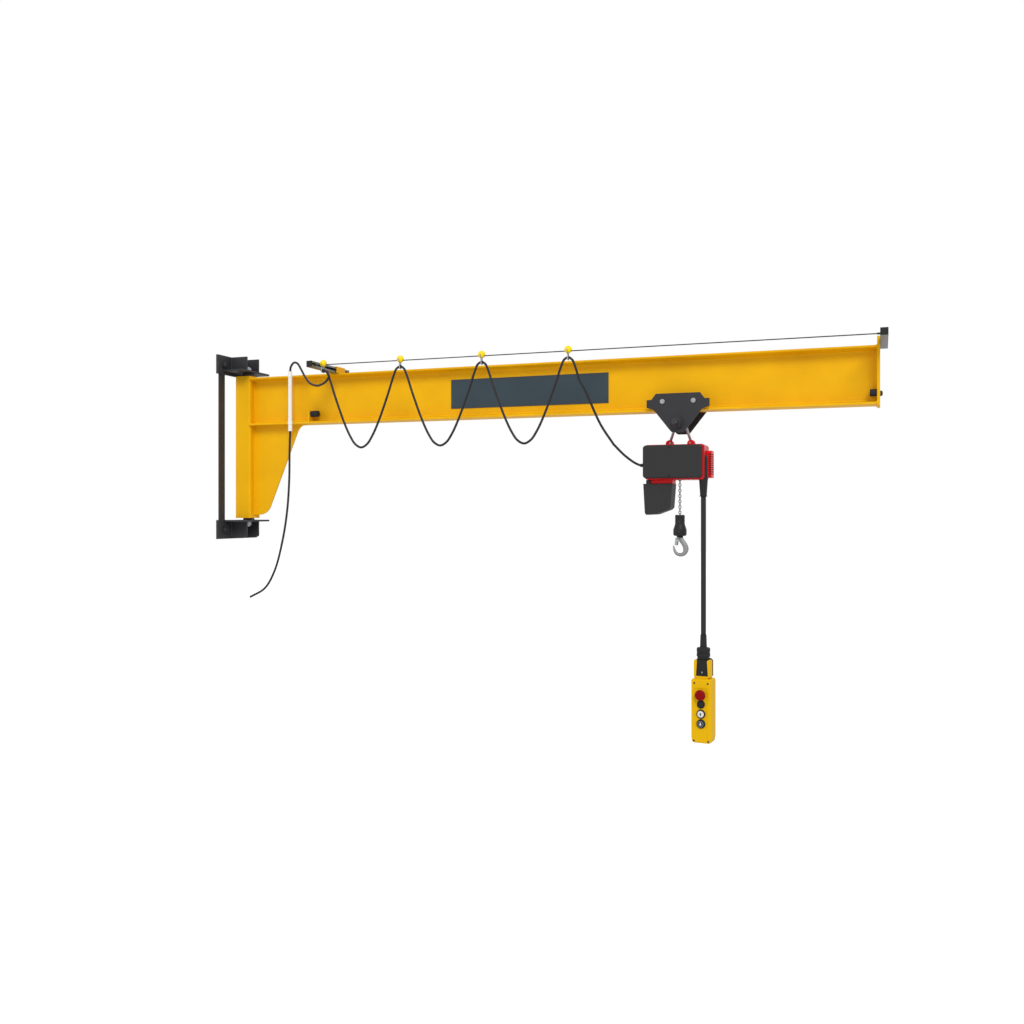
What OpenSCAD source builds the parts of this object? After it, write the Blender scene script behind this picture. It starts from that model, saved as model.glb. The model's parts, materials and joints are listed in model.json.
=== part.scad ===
// Wall-mounted slewing jib crane with a push trolley, a small chain hoist and a festoon cable.
// Origin: centre of the lower wall plate's back face. +X runs out along the jib, +Z is up.
// The jib, trolley, hook and buttons are drawn in their rest positions.

/* [Wall brackets] */
// Height from the lower to the upper wall plate, centre to centre
bracket_rise = 827; // [800:1:900]
// Width of a wall plate
wall_plate_w = 336; // [320:1:400]
// Height of a wall plate
wall_plate_h = 95; // [90:1:105]
// Thickness of a wall plate
wall_plate_t = 12; // [10:1:14]
// Distance between the two wall bolts of a bracket
bolt_spacing = 240; // [230:1:260]
// Diameter of the wall bolt holes
bolt_hole_d = 22; // [18:1:26]
// Clear distance between the cheeks of a bracket
cheek_gap = 92; // [88:1:100]
// Thickness of a cheek
cheek_t = 10; // [8:1:12]
// Reach of the cheeks from the wall
cheek_reach = 102; // [90:1:110]
// How far a lower cheek's bottom edge rises towards the front
cheek_rise = 8; // [4:1:14]
// Reach of the bearing plates from the wall
bearing_reach = 123; // [117:1:130]
// Width of the bearing plates
bearing_w = 242; // [220:1:250]
// Thickness of the bearing plates
bearing_t = 9; // [8:1:12]
// Height of the upper bearing plate's underside above the upper wall plate's lower edge
upper_bearing_lift = 15.5; // [12:0.5:20]
// Width of a tie bar
bar_w = 45; // [40:1:50]
// Thickness of a tie bar
bar_t = 8; // [6:1:9]
// Distance between the tie bars' centre lines
bar_spacing = 256; // [250:1:280]

/* [Post and pivots] */
// Distance of the slewing axis from the wall
pivot_x = 70; // [70:1:75]
// Outside width of the square post
post_w = 90; // [80:1:94]
// Wall thickness of the post
post_wall = 6; // [5:0.5:8]
// Outside corner radius of the post
post_r = 10; // [8:1:12]
// Thickness of the post's end caps
cap_t = 12; // [10:1:16]
// Gap between the lower bearing plate and the post
foot_gap = 9.5; // [8:0.5:12]
// Gap between the post and the upper bearing plate
head_gap = 17; // [14:0.5:20]
// Diameter of the pivot pins
pin_d = 24; // [20:1:30]
// Diameter of the thrust washers on the pins
thrust_d = 45; // [42:1:52]
// Width across the flats of the pin nuts
pin_nut_w = 36; // [34:1:40]
// Height of the pin nuts
pin_nut_h = 19; // [16:1:22]
// Radial running clearance at pins and axles
running_gap = 0.05; // [0.02:0.01:0.1]
// Gap left between faces that turn or slide on each other
face_gap = 0.3; // [0.2:0.05:0.5]

/* [Jib beam] */
// Height of the beam's underside above the origin
beam_z = 526; // [520:1:540]
// Reach of the beam's outer end from the wall
beam_reach = 3104; // [2900:1:3300]
// Height of the beam
beam_h = 240; // [236:1:244]
// Width of the beam's flanges
beam_w = 106; // [104:1:107]
// Thickness of the beam's web
web_t = 8.7; // [7:0.1:10]
// Thickness of a flange midway between its edge and the centre
flange_t = 13.1; // [12:0.1:14]
// Slope of the flanges' inner faces
flange_slope = 0.14; // [0.1:0.01:0.14]
// Root radius between web and flange
root_r = 8.7; // [7:0.1:10]
// Toe radius at the flange edges
toe_r = 5.2; // [4:0.1:6]

/* [Gusset and end plate] */
// Thickness of the gusset plate
gusset_t = 10; // [8:1:12]
// Height of the gusset's flat foot above the post's lower end
gusset_foot = 17; // [12:1:24]
// Length of the gusset's flat foot
gusset_flat = 28; // [20:1:36]
// Radius of the gusset's nose
gusset_nose_r = 70; // [60:1:80]
// Angle of the gusset's straight edge
gusset_angle = 67; // [64:0.5:70]
// Radius of the gusset's upper fillet
gusset_fillet_r = 58; // [50:1:66]
// Thickness of the end plate
end_plate_t = 12; // [10:1:16]
// Width of the end plate
end_plate_w = 108; // [104:1:112]
// How far the end plate stands below the beam
end_plate_drop = 7; // [5:1:10]
// How far the end plate stands above the beam
end_plate_rise = 37; // [32:1:42]

/* [Stops] */
// Distance of the inner stop plates' outer face from the wall
stop_x = 462; // [455:1:480]
// Thickness of the inner stop plates
stop_t = 10; // [8:1:12]
// Height of the inner stop plates above the beam's underside
stop_h = 63; // [60:1:70]
// Diameter of the rubber buffers
buffer_d = 30; // [26:1:32]
// Length of an inner buffer
inner_buffer_l = 41; // [36:1:46]
// Length of an outer buffer
outer_buffer_l = 28; // [24:1:32]
// Height of the buffers above the beam's underside
buffer_rise = 48; // [46:1:52]
// Distance of the buffers from the beam's mid-plane
buffer_y = 30; // [26:1:32]

/* [Sign panel] */
// Distance of the panel's inner end from the wall
sign_x = 1206; // [1150:1:1300]
// Length of the panel
sign_l = 766; // [700:1:800]
// Height of the panel
sign_h = 137; // [120:1:145]
// Thickness of the panel
sign_t = 3; // [2:0.5:4]

/* [Cable supports] */
// Distance of the inner support rail from the wall
root_rail_x = 607; // [598:1:640]
// Width and height of the support rails
rail_w = 30; // [28:1:34]
// Height of the support rails
rail_h = 28; // [27:1:32]
// Wall thickness of the support rails
rail_wall = 2.5; // [2:0.5:3]
// Width of the support rails' slot
rail_slot = 11; // [10:1:13]
// Reach of the support rails to the cable side
rail_reach = 288; // [280:1:350]
// How far the support rails run past the beam's mid-plane
rail_tail = 62; // [24:1:70]
// Distance of the taut wire from the beam's mid-plane
wire_y = 241; // [230:1:250]
// Diameter of the taut wire
wire_d = 5; // [4:0.5:5]
// Diameter of the wire's threaded ends
wire_end_d = 8; // [7:0.5:9]
// Diameter of the rollers that run on the wire
ball_d = 33; // [30:1:34]
// Height of the roller axles above the wire's centre
ball_lift = 6.5; // [6:0.1:8]
// Distance between neighbouring cable carriers
carrier_pitch = 400; // [385:1:405]
// Distance of the fixed cable clamp from the inner support rail
clamp_offset = 47; // [32:1:52]
// Diameter of the festoon cable
cable_d = 10.4; // [9:0.1:11]
// Outside diameter of the cable conduit
conduit_d = 20; // [18:1:25]
// Distance of the conduit from the wall
conduit_x = 363; // [355:1:371]
// Height of the conduit's lower end
conduit_z = 488; // [480:1:500]
// Length of the conduit
conduit_l = 297; // [292:1:304]

/* [Trolley] */
// Distance of the trolley's centre from the wall
trolley_x = 2295; // [2290:1:2340]
// Clear distance between the trolley's side plates
trolley_gap = 124; // [122:1:128]
// Thickness of a side plate
side_t = 8; // [6:1:10]
// Distance between the wheel axles
wheelbase = 134; // [126:1:140]
// Height of the axles above the beam's underside
axle_rise = 40.5; // [39:0.5:42]
// Diameter of the wheel axles
axle_d = 16; // [14:1:18]
// Diameter of the axle heads
axle_head_d = 24; // [22:1:28]
// Width of a wheel's tread
tread_w = 22; // [18:1:24]
// Diameter of a wheel's guide flange
guide_d = 70; // [66:1:74]
// Thickness of a wheel's guide flange
guide_t = 4; // [3:0.5:5]
// Drop of the suspension bolt below the beam's underside
bolt_drop = 54; // [50:0.5:58]
// Diameter of the suspension bolt
bolt_d = 24; // [20:1:26]
// Diameter of the suspension bolt's spacer tubes
spacer_d = 32; // [30:1:36]
// Length of the suspension bolt
bolt_l = 300; // [240:1:320]
// Diameter of the suspension bolt's washers
bolt_washer_d = 50; // [44:1:56]
// Thickness of the washers outside a side plate
bolt_washer_t = 12; // [6:1:16]
// Width across the flats of the suspension bolt's nuts
bolt_nut_w = 36; // [34:1:41]
// Height of the suspension bolt's nuts
bolt_nut_h = 18; // [15:1:24]

/* [Hoist] */
// Drop of the housing's top below the suspension bolt
housing_drop = 92; // [88:0.5:100]
// Height of the housing
housing_h = 152; // [145:1:160]
// Length of the housing
housing_l = 258; // [250:1:264]
// Depth of the housing
housing_d = 124; // [116:1:130]
// Depth of the front cover
cover_d = 18; // [14:1:22]
// Corner radius of the front cover
cover_r = 14; // [10:1:18]
// Diameter of the bail's bar
bail_d = 12; // [10:0.5:13]
// Distance between the bail's two feet
bail_foot = 94; // [88:1:100]
// Diameter of the pendant cable
control_cable_d = 22; // [20:0.5:24]
// Length of the pendant cable that shows
control_cable_l = 594; // [500:1:900]
// Depth of the chain bag
bag_d = 96; // [80:1:100]
// Wall thickness of the chain bag
bag_wall = 3; // [2.5:0.5:4]

/* [Chain and hook] */
// Diameter of the chain's wire
chain_wire = 4; // [3.6:0.1:4.2]
// Pitch of the chain
chain_pitch = 12; // [11.8:0.1:12.4]
// Outside width of a chain link
link_w = 13.6; // [13:0.1:14]
// Height of the hook block
block_h = 92; // [86:1:98]
// Diameter of the hook block's neck
block_neck_d = 42; // [40:1:46]
// Diameter of the hook block's skirt
block_skirt_d = 58; // [54:1:62]
// Diameter of the hook's shank
shank_d = 14; // [12:1:16]
// Inside radius of the hook's bowl
bowl_r = 17.5; // [16:0.5:19]
// Diameter of the hook's section
hook_d = 17; // [16:0.5:18]

/* [Pendant control] */
// Width of the pendant's body
pendant_w = 88; // [80:1:92]
// Depth of the pendant's body
pendant_d = 75; // [70:1:80]
// Height of the pendant's body
pendant_h = 275; // [265:1:290]
// Width of the pendant's neck
neck_w = 72; // [64:1:76]
// Depth of the pendant's neck
neck_d = 50; // [44:1:60]
// Turn of the pendant about its hanging cable
pendant_turn = 7; // [0:1:20]
// Diameter of the stop button
stop_button_d = 46; // [42:1:46]
// Diameter of the push buttons' bezels
bezel_d = 36; // [30:1:38]
// Diameter of the push buttons' caps
cap_d = 26; // [20:1:28]
// Travel of the push buttons
button_travel = 4; // [3:0.5:5]
// Travel of the stop button
stop_travel = 6; // [5:0.5:7]

/* [Hidden] */
$fn = 48;

// Wall brackets
half_plate = wall_plate_h / 2;
lower_seat_z = half_plate;
upper_seat_z = bracket_rise - half_plate + upper_bearing_lift;
post_foot_z = lower_seat_z + foot_gap;
post_head_z = upper_seat_z - head_gap;
post_face_x = pivot_x + post_w / 2;
cap_hole_d = pin_d + 2 * running_gap;
pin_depth = cap_t - 1;

// Jib
beam_top_z = beam_z + beam_h;
beam_mid_z = beam_z + beam_h / 2;
outer_face_x = beam_reach + end_plate_t;
wire_z = beam_top_z + rail_h / 2;
buffer_z = beam_z + buffer_rise;
ball_z = wire_z + ball_lift;
clip_drop = 34.5;
clip_z = ball_z - clip_drop;
clamp_x = root_rail_x + clamp_offset;
clip_l = 12;
strap_w = 6;
strap_t = 2;
roller_axle_d = 4;
clip_h = 15;
conduit_y = beam_w / 2 + conduit_d / 2 + 3;

// Trolley
axle_z = beam_z + axle_rise;
bolt_z = beam_z - bolt_drop;
tread_y = 50;
tread_top_z = beam_z + flange_t + flange_slope * (beam_w / 4 - tread_y + tread_w / 2);
tread_r = axle_z - tread_top_z - face_gap;
tread_taper = flange_slope * tread_w / 2;
side_y = trolley_gap / 2;
wheel_x = [-wheelbase / 2, wheelbase / 2];

// Hoist
housing_top = bolt_z - housing_drop;
housing_bottom = housing_top - housing_h;
housing_x = trolley_x - 145;
housing_right = housing_x + housing_l;
housing_y = housing_d / 2;
cover_face = housing_y + cover_d;
cover_lead = 7;
entry_d = 16;
entry_l = 12;
entry_z = housing_top - 89;
chain_x = trolley_x - 3;
chain_well = 24;
chain_well_h = 124;
chain_links = 24;
link_bend_r = (link_w - chain_wire) / 2;
link_gap = 0.3;

// Hook block and hook
chain_drop = 153;
block_top = housing_bottom - chain_drop;
block_bottom = block_top - block_h;
chain_pin_z = block_top - 17;
chain_pin_d = 4.6;
lift_pin_d = chain_pin_d;
chain_base_z = chain_pin_z - chain_pin_d / 2 - link_gap + chain_pitch / 2 + link_gap / 2;
lift_pin_z = chain_base_z + (chain_links - 0.5) * chain_pitch - lift_pin_d / 2 - link_gap / 2;
bowl_ring_r = bowl_r + hook_d / 2;
bowl_z = block_bottom - 54.5;
neck_angle = 50;

// Pendant
outlet_x = housing_right - 7;
outlet_y = -40;
outlet_r = 19;
outlet_body_h = 90;
outlet_ring_z = housing_bottom - 74;
boot_h = 55;
gland_h = 48;
neck_h = 79;
neck_gap = 4;
gland_top = outlet_ring_z - control_cable_l;
gland_nut_top = gland_top - boot_h;
neck_top = gland_nut_top - gland_h;
pendant_top = neck_top - neck_h - neck_gap;
pendant_face = -pendant_d / 2;
button_drop = [67.5, 108, 149.5, 191.5];
bezel_h = 5;
// The start button sits close under the stop button's head, so its bezel is smaller
start_bezel_d = bezel_d - 3;

// A bar that runs on from a bend is this much thinner and starts this far inside it
seam = 0.2;
lap = 0.5;

// Cord routes: round points along each cable's centre line
span_half = [
    [6, 0, 0], [18, 3, -10], [30, 5, -38], [62, 5, -130],
    [110, 5, -252], [141, 5, -314], [168, 3, -350], [200, 0, -365]
];
span_route = concat(
    span_half,
    [for (i = [6:-1:0]) [carrier_pitch - span_half[i][0], -span_half[i][1], span_half[i][2]]]
);
lead_route = [
    [1860, -241, 752], [1874, -241, 740], [1887, -240, 708], [1901, -232, 657],
    [1924, -220, 610], [1982, -180, 465], [2031, -145, 380], [2070, -112, 335],
    [2108, -84, 303], [2131, -71, 291]
];
slack_route = [
    [363, -66, 785], [366, -66, 806], [386, -71, 826], [412, -80, 821], [446, -96, 784],
    [484, -125, 745], [530, -160, 710], [590, -196, 690], [640, -226, 692],
    [674, -246, 704], [690, -252, 724], [680, -252, 744], [660, -252, 749]
];
tail_route = [
    [363, -66, 488], [359, -65, 393], [356, -64, 246], [344, -63, 97],
    [317, -62, -52], [272, -62, -202], [215, -62, -293], [128, -62, -341]
];

yellow = [0.93, 0.68, 0.13];
dark = [0.23, 0.23, 0.24];
red = [0.78, 0.08, 0.1];
zinc = [0.72, 0.73, 0.75];
black = [0.12, 0.12, 0.13];

// ---- shared shapes -------------------------------------------------------------------------

// Rectangle with rounded corners, centred
module round_rect(w, h, r) {
    square([w - 2 * r, h], center = true);
    square([w, h - 2 * r], center = true);
    for (sx = [-1, 1], sy = [-1, 1]) translate([sx * (w / 2 - r), sy * (h / 2 - r)]) circle(r);
}

// Extrusion of a side view, drawn in X and Z, to a thickness centred on y
module side_extrude(t, y = 0) {
    translate([0, y + t / 2, 0]) rotate([90, 0, 0]) linear_extrude(t) children();
}

// Cylinder along X from x
module rod_x(d, l, x, y, z) {
    translate([x, y, z]) rotate([0, 90, 0]) cylinder(d = d, h = l);
}

// Cylinder along Y from y
module rod_y(d, l, x, y, z) {
    translate([x, y, z]) rotate([-90, 0, 0]) cylinder(d = d, h = l);
}

// Hexagon nut, along Z from z
module nut_z(w, h, x, y, z) {
    translate([x, y, z]) cylinder(d = w / cos(30), h = h, $fn = 6);
}

function unit(v) = v / norm(v);
function route_dir(p, i, t0, t1) =
    i == 0 ? t0 : i == len(p) - 1 ? t1 : unit(unit(p[i + 1] - p[i]) + unit(p[i] - p[i - 1]));

// Round tube swept along a route that never runs along Y; t0 and t1 are its end directions
module tube(route, d, t0, t1, sides = 8) {
    n = len(route);
    rings = [
        for (i = [0:n - 1])
            let (t = unit(route_dir(route, i, t0, t1)), u = unit(cross([0, 1, 0], t)), v = cross(t, u))
                for (k = [0:sides - 1])
                    let (a = 360 * (k + 0.5) / sides)
                        route[i] + d / 2 * (cos(a) * u + sin(a) * v)
    ];
    walls = [
        for (i = [0:n - 2], k = [0:sides - 1])
            let (k2 = (k + 1) % sides)
                [i * sides + k, (i + 1) * sides + k, (i + 1) * sides + k2, i * sides + k2]
    ];
    ends = [[for (k = [0:sides - 1]) k], [for (k = [sides - 1:-1:0]) (n - 1) * sides + k]];
    polyhedron(rings, concat(walls, ends));
}

// ---- wall brackets -------------------------------------------------------------------------

module wall_plate(z) {
    color(dark) difference() {
        translate([0, -wall_plate_w / 2, z - half_plate]) cube([wall_plate_t, wall_plate_w, wall_plate_h]);
        for (s = [-1, 1]) rod_x(bolt_hole_d, wall_plate_t + 2, -1, s * bolt_spacing / 2, z);
    }
}

module lower_wall_plate() { wall_plate(0); }
module upper_wall_plate() { wall_plate(bracket_rise); }

module lower_cheek_side() {
    top = lower_seat_z - bearing_t;
    r = 10;
    polygon(concat(
        [[wall_plate_t, top], [wall_plate_t, -half_plate]],
        [for (a = [-90:15:0])
            [cheek_reach - r + r * cos(a), cheek_rise - half_plate + r + r * sin(a)]],
        [[cheek_reach, top]]
    ));
}

module upper_cheek_side() {
    bottom = upper_seat_z + bearing_t;
    translate([wall_plate_t, bottom])
        square([cheek_reach - wall_plate_t, bracket_rise + half_plate - bottom]);
}

module bracket_cheeks() {
    color(dark) for (s = [-1, 1]) {
        side_extrude(cheek_t, s * (cheek_gap + cheek_t) / 2) lower_cheek_side();
        side_extrude(cheek_t, s * (cheek_gap + cheek_t) / 2) upper_cheek_side();
    }
}

module bearing_plate(z) {
    corner = 8;
    depth = bearing_reach - wall_plate_t;
    color(dark) translate([0, 0, z]) difference() {
        linear_extrude(bearing_t) intersection() {
            translate([bearing_reach - depth, 0]) round_rect(2 * depth, bearing_w, corner);
            translate([wall_plate_t, -bearing_w]) square([depth, 2 * bearing_w]);
        }
        translate([pivot_x, 0, -1]) cylinder(d = cap_hole_d, h = bearing_t + 2);
    }
}

module lower_bearing_plate() { bearing_plate(lower_seat_z - bearing_t); }
module upper_bearing_plate() { bearing_plate(upper_seat_z); }

module tie_bars() {
    bar_l = bracket_rise - wall_plate_h;
    color(dark) for (s = [-1, 1])
        translate([0, s * bar_spacing / 2 - bar_w / 2, half_plate]) cube([bar_t, bar_w, bar_l]);
}

// Pin through a bearing plate, with its nut outside and its nose in the post's cap; up = 1 or -1
module pivot_pin(z, up, gap) {
    nose = bearing_t + gap + pin_depth;
    end = 6;
    translate([pivot_x, 0, z]) mirror([0, 0, up > 0 ? 0 : 1]) {
        translate([0, 0, -pin_nut_h - end]) cylinder(d = pin_d, h = pin_nut_h + end + nose);
        nut_z(pin_nut_w, pin_nut_h, 0, 0, -pin_nut_h);
    }
}

module pivot_pins() {
    color(zinc) {
        pivot_pin(lower_seat_z - bearing_t, 1, foot_gap);
        pivot_pin(upper_seat_z + bearing_t, -1, head_gap);
    }
}

module thrust_washer(z, h) {
    translate([pivot_x, 0, z]) difference() {
        cylinder(d = thrust_d, h = h);
        translate([0, 0, -1]) cylinder(d = cap_hole_d, h = h + 2);
    }
}

module thrust_washers() {
    color(dark) {
        thrust_washer(lower_seat_z, foot_gap - face_gap);
        thrust_washer(post_head_z + face_gap, head_gap - face_gap);
    }
}

// ---- post and jib --------------------------------------------------------------------------

module post() {
    color(yellow) translate([pivot_x, 0, post_foot_z + cap_t])
        linear_extrude(post_head_z - post_foot_z - 2 * cap_t) difference() {
            round_rect(post_w, post_w, post_r);
            round_rect(post_w - 2 * post_wall, post_w - 2 * post_wall, post_r - post_wall);
        }
}

module post_cap(z) {
    translate([pivot_x, 0, z]) difference() {
        linear_extrude(cap_t) round_rect(post_w, post_w, post_r);
        translate([0, 0, -1]) cylinder(d = cap_hole_d, h = cap_t + 2);
    }
}

module post_caps() {
    color(yellow) {
        post_cap(post_foot_z);
        post_cap(post_head_z - cap_t);
    }
}

// Thickness of a flange at distance y from the mid-plane
function flange_at(y) = flange_t + flange_slope * (beam_w / 4 - y);

// Points of a fillet between two straight edges, from a0 to a1 about the centre c
function arc(c, r, a0, a1, n = 5) =
    [for (i = [0:n]) let (a = a0 + (a1 - a0) * i / n) c + r * [cos(a), sin(a)]];

// One quarter of the beam's section, from the toe of a flange to the web, in Y and Z
flange_angle = atan(flange_slope);
toe_y = beam_w / 2;
toe_centre = [toe_y - toe_r, flange_at(toe_y - toe_r) - toe_r / cos(flange_angle)];
root_y = web_t / 2 + root_r;
root_centre = [root_y, flange_at(root_y) + root_r / cos(flange_angle)];
quarter = concat(
    [[toe_y, 0]],
    arc(toe_centre, toe_r, 0, 90 - flange_angle),
    arc(root_centre, root_r, 270 - flange_angle, 180)
);

module beam_section() {
    half = concat(
        [for (p = quarter) [p[0], p[1] - beam_h / 2]],
        [for (i = [len(quarter) - 1:-1:0]) [quarter[i][0], beam_h / 2 - quarter[i][1]]]
    );
    polygon(concat(half, [for (i = [len(half) - 1:-1:0]) [-half[i][0], half[i][1]]]));
}

// Extrusion along X from x, of an outline drawn in Y and Z
module along_x(x, l) {
    translate([x, 0, 0]) rotate([90, 0, 90]) linear_extrude(l) children();
}

module beam() {
    color(yellow) along_x(post_face_x, beam_reach - post_face_x)
        translate([0, beam_mid_z]) beam_section();
}

module gusset() {
    foot_z = post_foot_z + gusset_foot;
    nose_x = post_face_x + gusset_flat;
    lean = [sin(gusset_angle), cos(gusset_angle)];
    nose_end = [nose_x + gusset_nose_r * lean[0], foot_z + gusset_nose_r * (1 - lean[1])];
    fillet_z = beam_z - gusset_fillet_r * (1 - lean[1]);
    fillet_x = nose_end[0] + (fillet_z - nose_end[1]) / tan(gusset_angle);
    fillet_end = fillet_x + gusset_fillet_r * lean[0];
    color(yellow) side_extrude(gusset_t) polygon(concat(
        [[post_face_x, foot_z]],
        arc([nose_x, foot_z + gusset_nose_r], gusset_nose_r, -90, gusset_angle - 90, 8),
        arc([fillet_end, beam_z - gusset_fillet_r], gusset_fillet_r, 90 + gusset_angle, 90, 6),
        [[post_face_x, beam_z]]
    ));
}

module end_plate() {
    h = beam_h + end_plate_drop + end_plate_rise;
    color(yellow) along_x(beam_reach, end_plate_t)
        translate([0, beam_z - end_plate_drop + h / 2]) round_rect(end_plate_w, h, 4);
}

module stop_plates() {
    color(yellow) along_x(stop_x - stop_t, stop_t) difference() {
        translate([-beam_w / 2 + 3, beam_z + 1]) square([beam_w - 6, stop_h - 1]);
        translate([0, beam_mid_z]) beam_section();
    }
}

module buffers() {
    color(black) for (s = [-1, 1]) {
        rod_x(buffer_d, inner_buffer_l, stop_x, s * buffer_y, buffer_z);
        rod_x(buffer_d, outer_buffer_l, beam_reach - outer_buffer_l, s * buffer_y, buffer_z);
    }
}

module sign_panel() {
    color([0.22, 0.28, 0.31]) translate([sign_x, -web_t / 2 - sign_t, beam_mid_z - sign_h / 2 - 1.5])
        cube([sign_l, sign_t, sign_h]);
}

// ---- cable supports ------------------------------------------------------------------------

module rail_section() {
    difference() {
        square([rail_w, rail_h]);
        translate([rail_wall, rail_wall]) square([rail_w - 2 * rail_wall, rail_h - 2 * rail_wall]);
        translate([rail_w / 2, (rail_h - rail_slot) / 2]) square([rail_w, rail_slot]);
    }
}

module support_rail(x) {
    l = rail_reach + rail_tail;
    color(zinc) translate([x, rail_tail, beam_top_z]) rotate([90, 0, 0])
        linear_extrude(l) rail_section();
}

module root_rail() { support_rail(root_rail_x - rail_w / 2); }

module tip_rail() {
    difference() {
        support_rail(outer_face_x);
        rod_x(wire_end_d + 1, rail_wall + 2, outer_face_x - 1, -wire_y, wire_z);
    }
}

module rail_caps() {
    cap = 3;
    lip = 1;
    color(black) for (x = [root_rail_x - rail_w / 2, outer_face_x], y = [-rail_reach - cap, rail_tail])
        translate([x, y, beam_top_z]) cube([rail_w, cap, rail_h + lip]);
}

module rail_clamp() {
    wall = 9;
    roof = 4;
    l = 75;
    back_y = 9;
    w = rail_w / 2 + wall;
    top = rail_h + roof;
    color(yellow) translate([root_rail_x, back_y, beam_top_z]) rotate([90, 0, 0]) linear_extrude(l)
        difference() {
            polygon([[-w, 0], [w, 0], [w, top - roof], [w - roof, top], [roof - w, top], [-w, top - roof]]);
            translate([-rail_w / 2, -1]) square([rail_w, rail_h + 1]);
        }
}

module taut_wire() {
    nut = 18;
    nut_t = 7;
    spare = 4;
    shank = 12;
    root_seat = root_rail_x + rail_w / 2 - rail_wall;
    tip_seat = outer_face_x + rail_wall;
    root_start = root_seat - nut_t - spare;
    tip_end = tip_seat + nut_t + spare;
    end_l = spare + nut_t + rail_wall + shank;
    color([0.35, 0.36, 0.38]) translate([0, -wire_y, wire_z]) {
        rod_x(wire_d, tip_end - root_start, root_start, 0, 0);
        rod_x(wire_end_d, end_l, root_start, 0, 0);
        rod_x(wire_end_d, end_l, tip_end - end_l, 0, 0);
        rod_x(nut, nut_t, root_seat - nut_t, 0, 0);
        rod_x(nut, nut_t, tip_seat, 0, 0);
    }
}

// Roller in two half balls on an axle along Y, with a groove that clears the wire
module ball_roller() {
    groove_w = wire_d + 1.4;
    groove_r = ball_lift - wire_d / 2 - face_gap;
    axle_l = ball_d + 2 * strap_t + 4;
    rotate([90, 0, 0]) rotate_extrude() union() {
        difference() {
            circle(d = ball_d);
            translate([-ball_d, -ball_d]) square([ball_d, 2 * ball_d]);
            translate([groove_r, -groove_w / 2]) square([ball_d, groove_w]);
        }
        translate([0, -axle_l / 2]) square([roller_axle_d / 2, axle_l]);
    }
}

// Flat strap over the roller's axle, down to the clip that holds the cable
module hanger(clip_y, clip_w) {
    leg_y = ball_d / 2 + 0.5;
    bridge_z = ball_z - ball_d / 2 - 4;
    for (s = [-1, 1])
        translate([-strap_w / 2, s * (leg_y + strap_t / 2) - strap_t / 2, bridge_z])
            cube([strap_w, strap_t, ball_z + strap_w / 2 - bridge_z]);
    translate([-strap_w / 2, -leg_y - strap_t, bridge_z - strap_t]) cube([strap_w, 2 * (leg_y + strap_t), strap_t]);
    translate([-strap_w / 2, -strap_t / 2, clip_z]) cube([strap_w, strap_t, bridge_z - clip_z]);
    translate([-clip_l / 2, clip_y - clip_w / 2, clip_z - clip_h / 2]) cube([clip_l, clip_w, clip_h]);
}

module carrier(i) {
    translate([clamp_x + i * carrier_pitch, -wire_y, 0]) {
        color([0.98, 0.87, 0.05]) translate([0, 0, ball_z]) ball_roller();
        color(zinc) hanger(0, 14);
    }
}

module carrier_2() { carrier(1); }
module carrier_3() { carrier(2); }
module carrier_4() { carrier(3); }

module fixed_clamp() {
    translate([clamp_x, -wire_y, 0]) {
        color([0.98, 0.87, 0.05]) translate([0, 0, ball_z]) ball_roller();
        color(zinc) hanger(-6, 26);
    }
}

module conduit() {
    color([0.9, 0.9, 0.88]) translate([conduit_x, -conduit_y, conduit_z])
        cylinder(d = conduit_d, h = conduit_l);
}

// Clip that grips the edge of a flange and holds the conduit; z is its lower end
module conduit_clip(z) {
    grip_w = 16;
    grip_h = 22;
    ring_t = 1.8;
    difference() {
        union() {
            translate([conduit_x, -conduit_y, z]) cylinder(d = conduit_d + 2 * ring_t, h = grip_h);
            translate([conduit_x - grip_w / 2, -conduit_y, z]) cube([grip_w, conduit_y - beam_w / 2 + 9, grip_h]);
        }
        translate([conduit_x, -conduit_y, z - 1]) cylinder(d = conduit_d + 2 * running_gap, h = grip_h + 2);
        along_x(conduit_x - conduit_d, 2 * conduit_d) translate([0, beam_mid_z]) beam_section();
    }
}

module conduit_clips() {
    lip = 4;
    grip_h = 22;
    color([0.9, 0.9, 0.88]) {
        conduit_clip(beam_z - lip);
        conduit_clip(beam_top_z + lip - grip_h);
    }
}

module supply_tail() { color(black) tube(tail_route, cable_d, [0, 0, -1], [-1, 0, -0.4]); }
module slack_loop() { color(black) tube(slack_route, cable_d, [0, 0, 1], [-1, 0, 0]); }
module festoon_lead() { color(black) tube(lead_route, cable_d, [1, 0, 0], [1, 0, 0]); }

module festoon_span(i) {
    color(black) translate([clamp_x + i * carrier_pitch, -wire_y, clip_z])
        tube(span_route, cable_d, [1, 0, 0], [1, 0, 0]);
}

module festoon_span_1() { festoon_span(0); }
module festoon_span_2() { festoon_span(1); }
module festoon_span_3() { festoon_span(2); }

// ---- trolley -------------------------------------------------------------------------------

module trolley_side() {
    r = 16;
    foot = 27;
    foot_drop = 40.5;
    foot_z = bolt_z - foot_drop;
    difference() {
        polygon(concat(
            [[-96, beam_z + 75], [96, beam_z + 75], [115, beam_z + 49], [136, beam_z + 49],
             [136, beam_z + 14], [107, beam_z + 7]],
            arc([foot - r + 8, foot_z + r], r, -35, -90, 4),
            arc([-foot + r - 8, foot_z + r], r, -90, -145, 4),
            [[-107, beam_z + 7], [-136, beam_z + 14], [-136, beam_z + 49], [-115, beam_z + 49]]
        ));
        for (x = wheel_x) translate([x, axle_z]) circle(d = axle_d + 2 * running_gap);
        translate([0, bolt_z]) circle(d = bolt_d + 2 * running_gap);
    }
}

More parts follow.
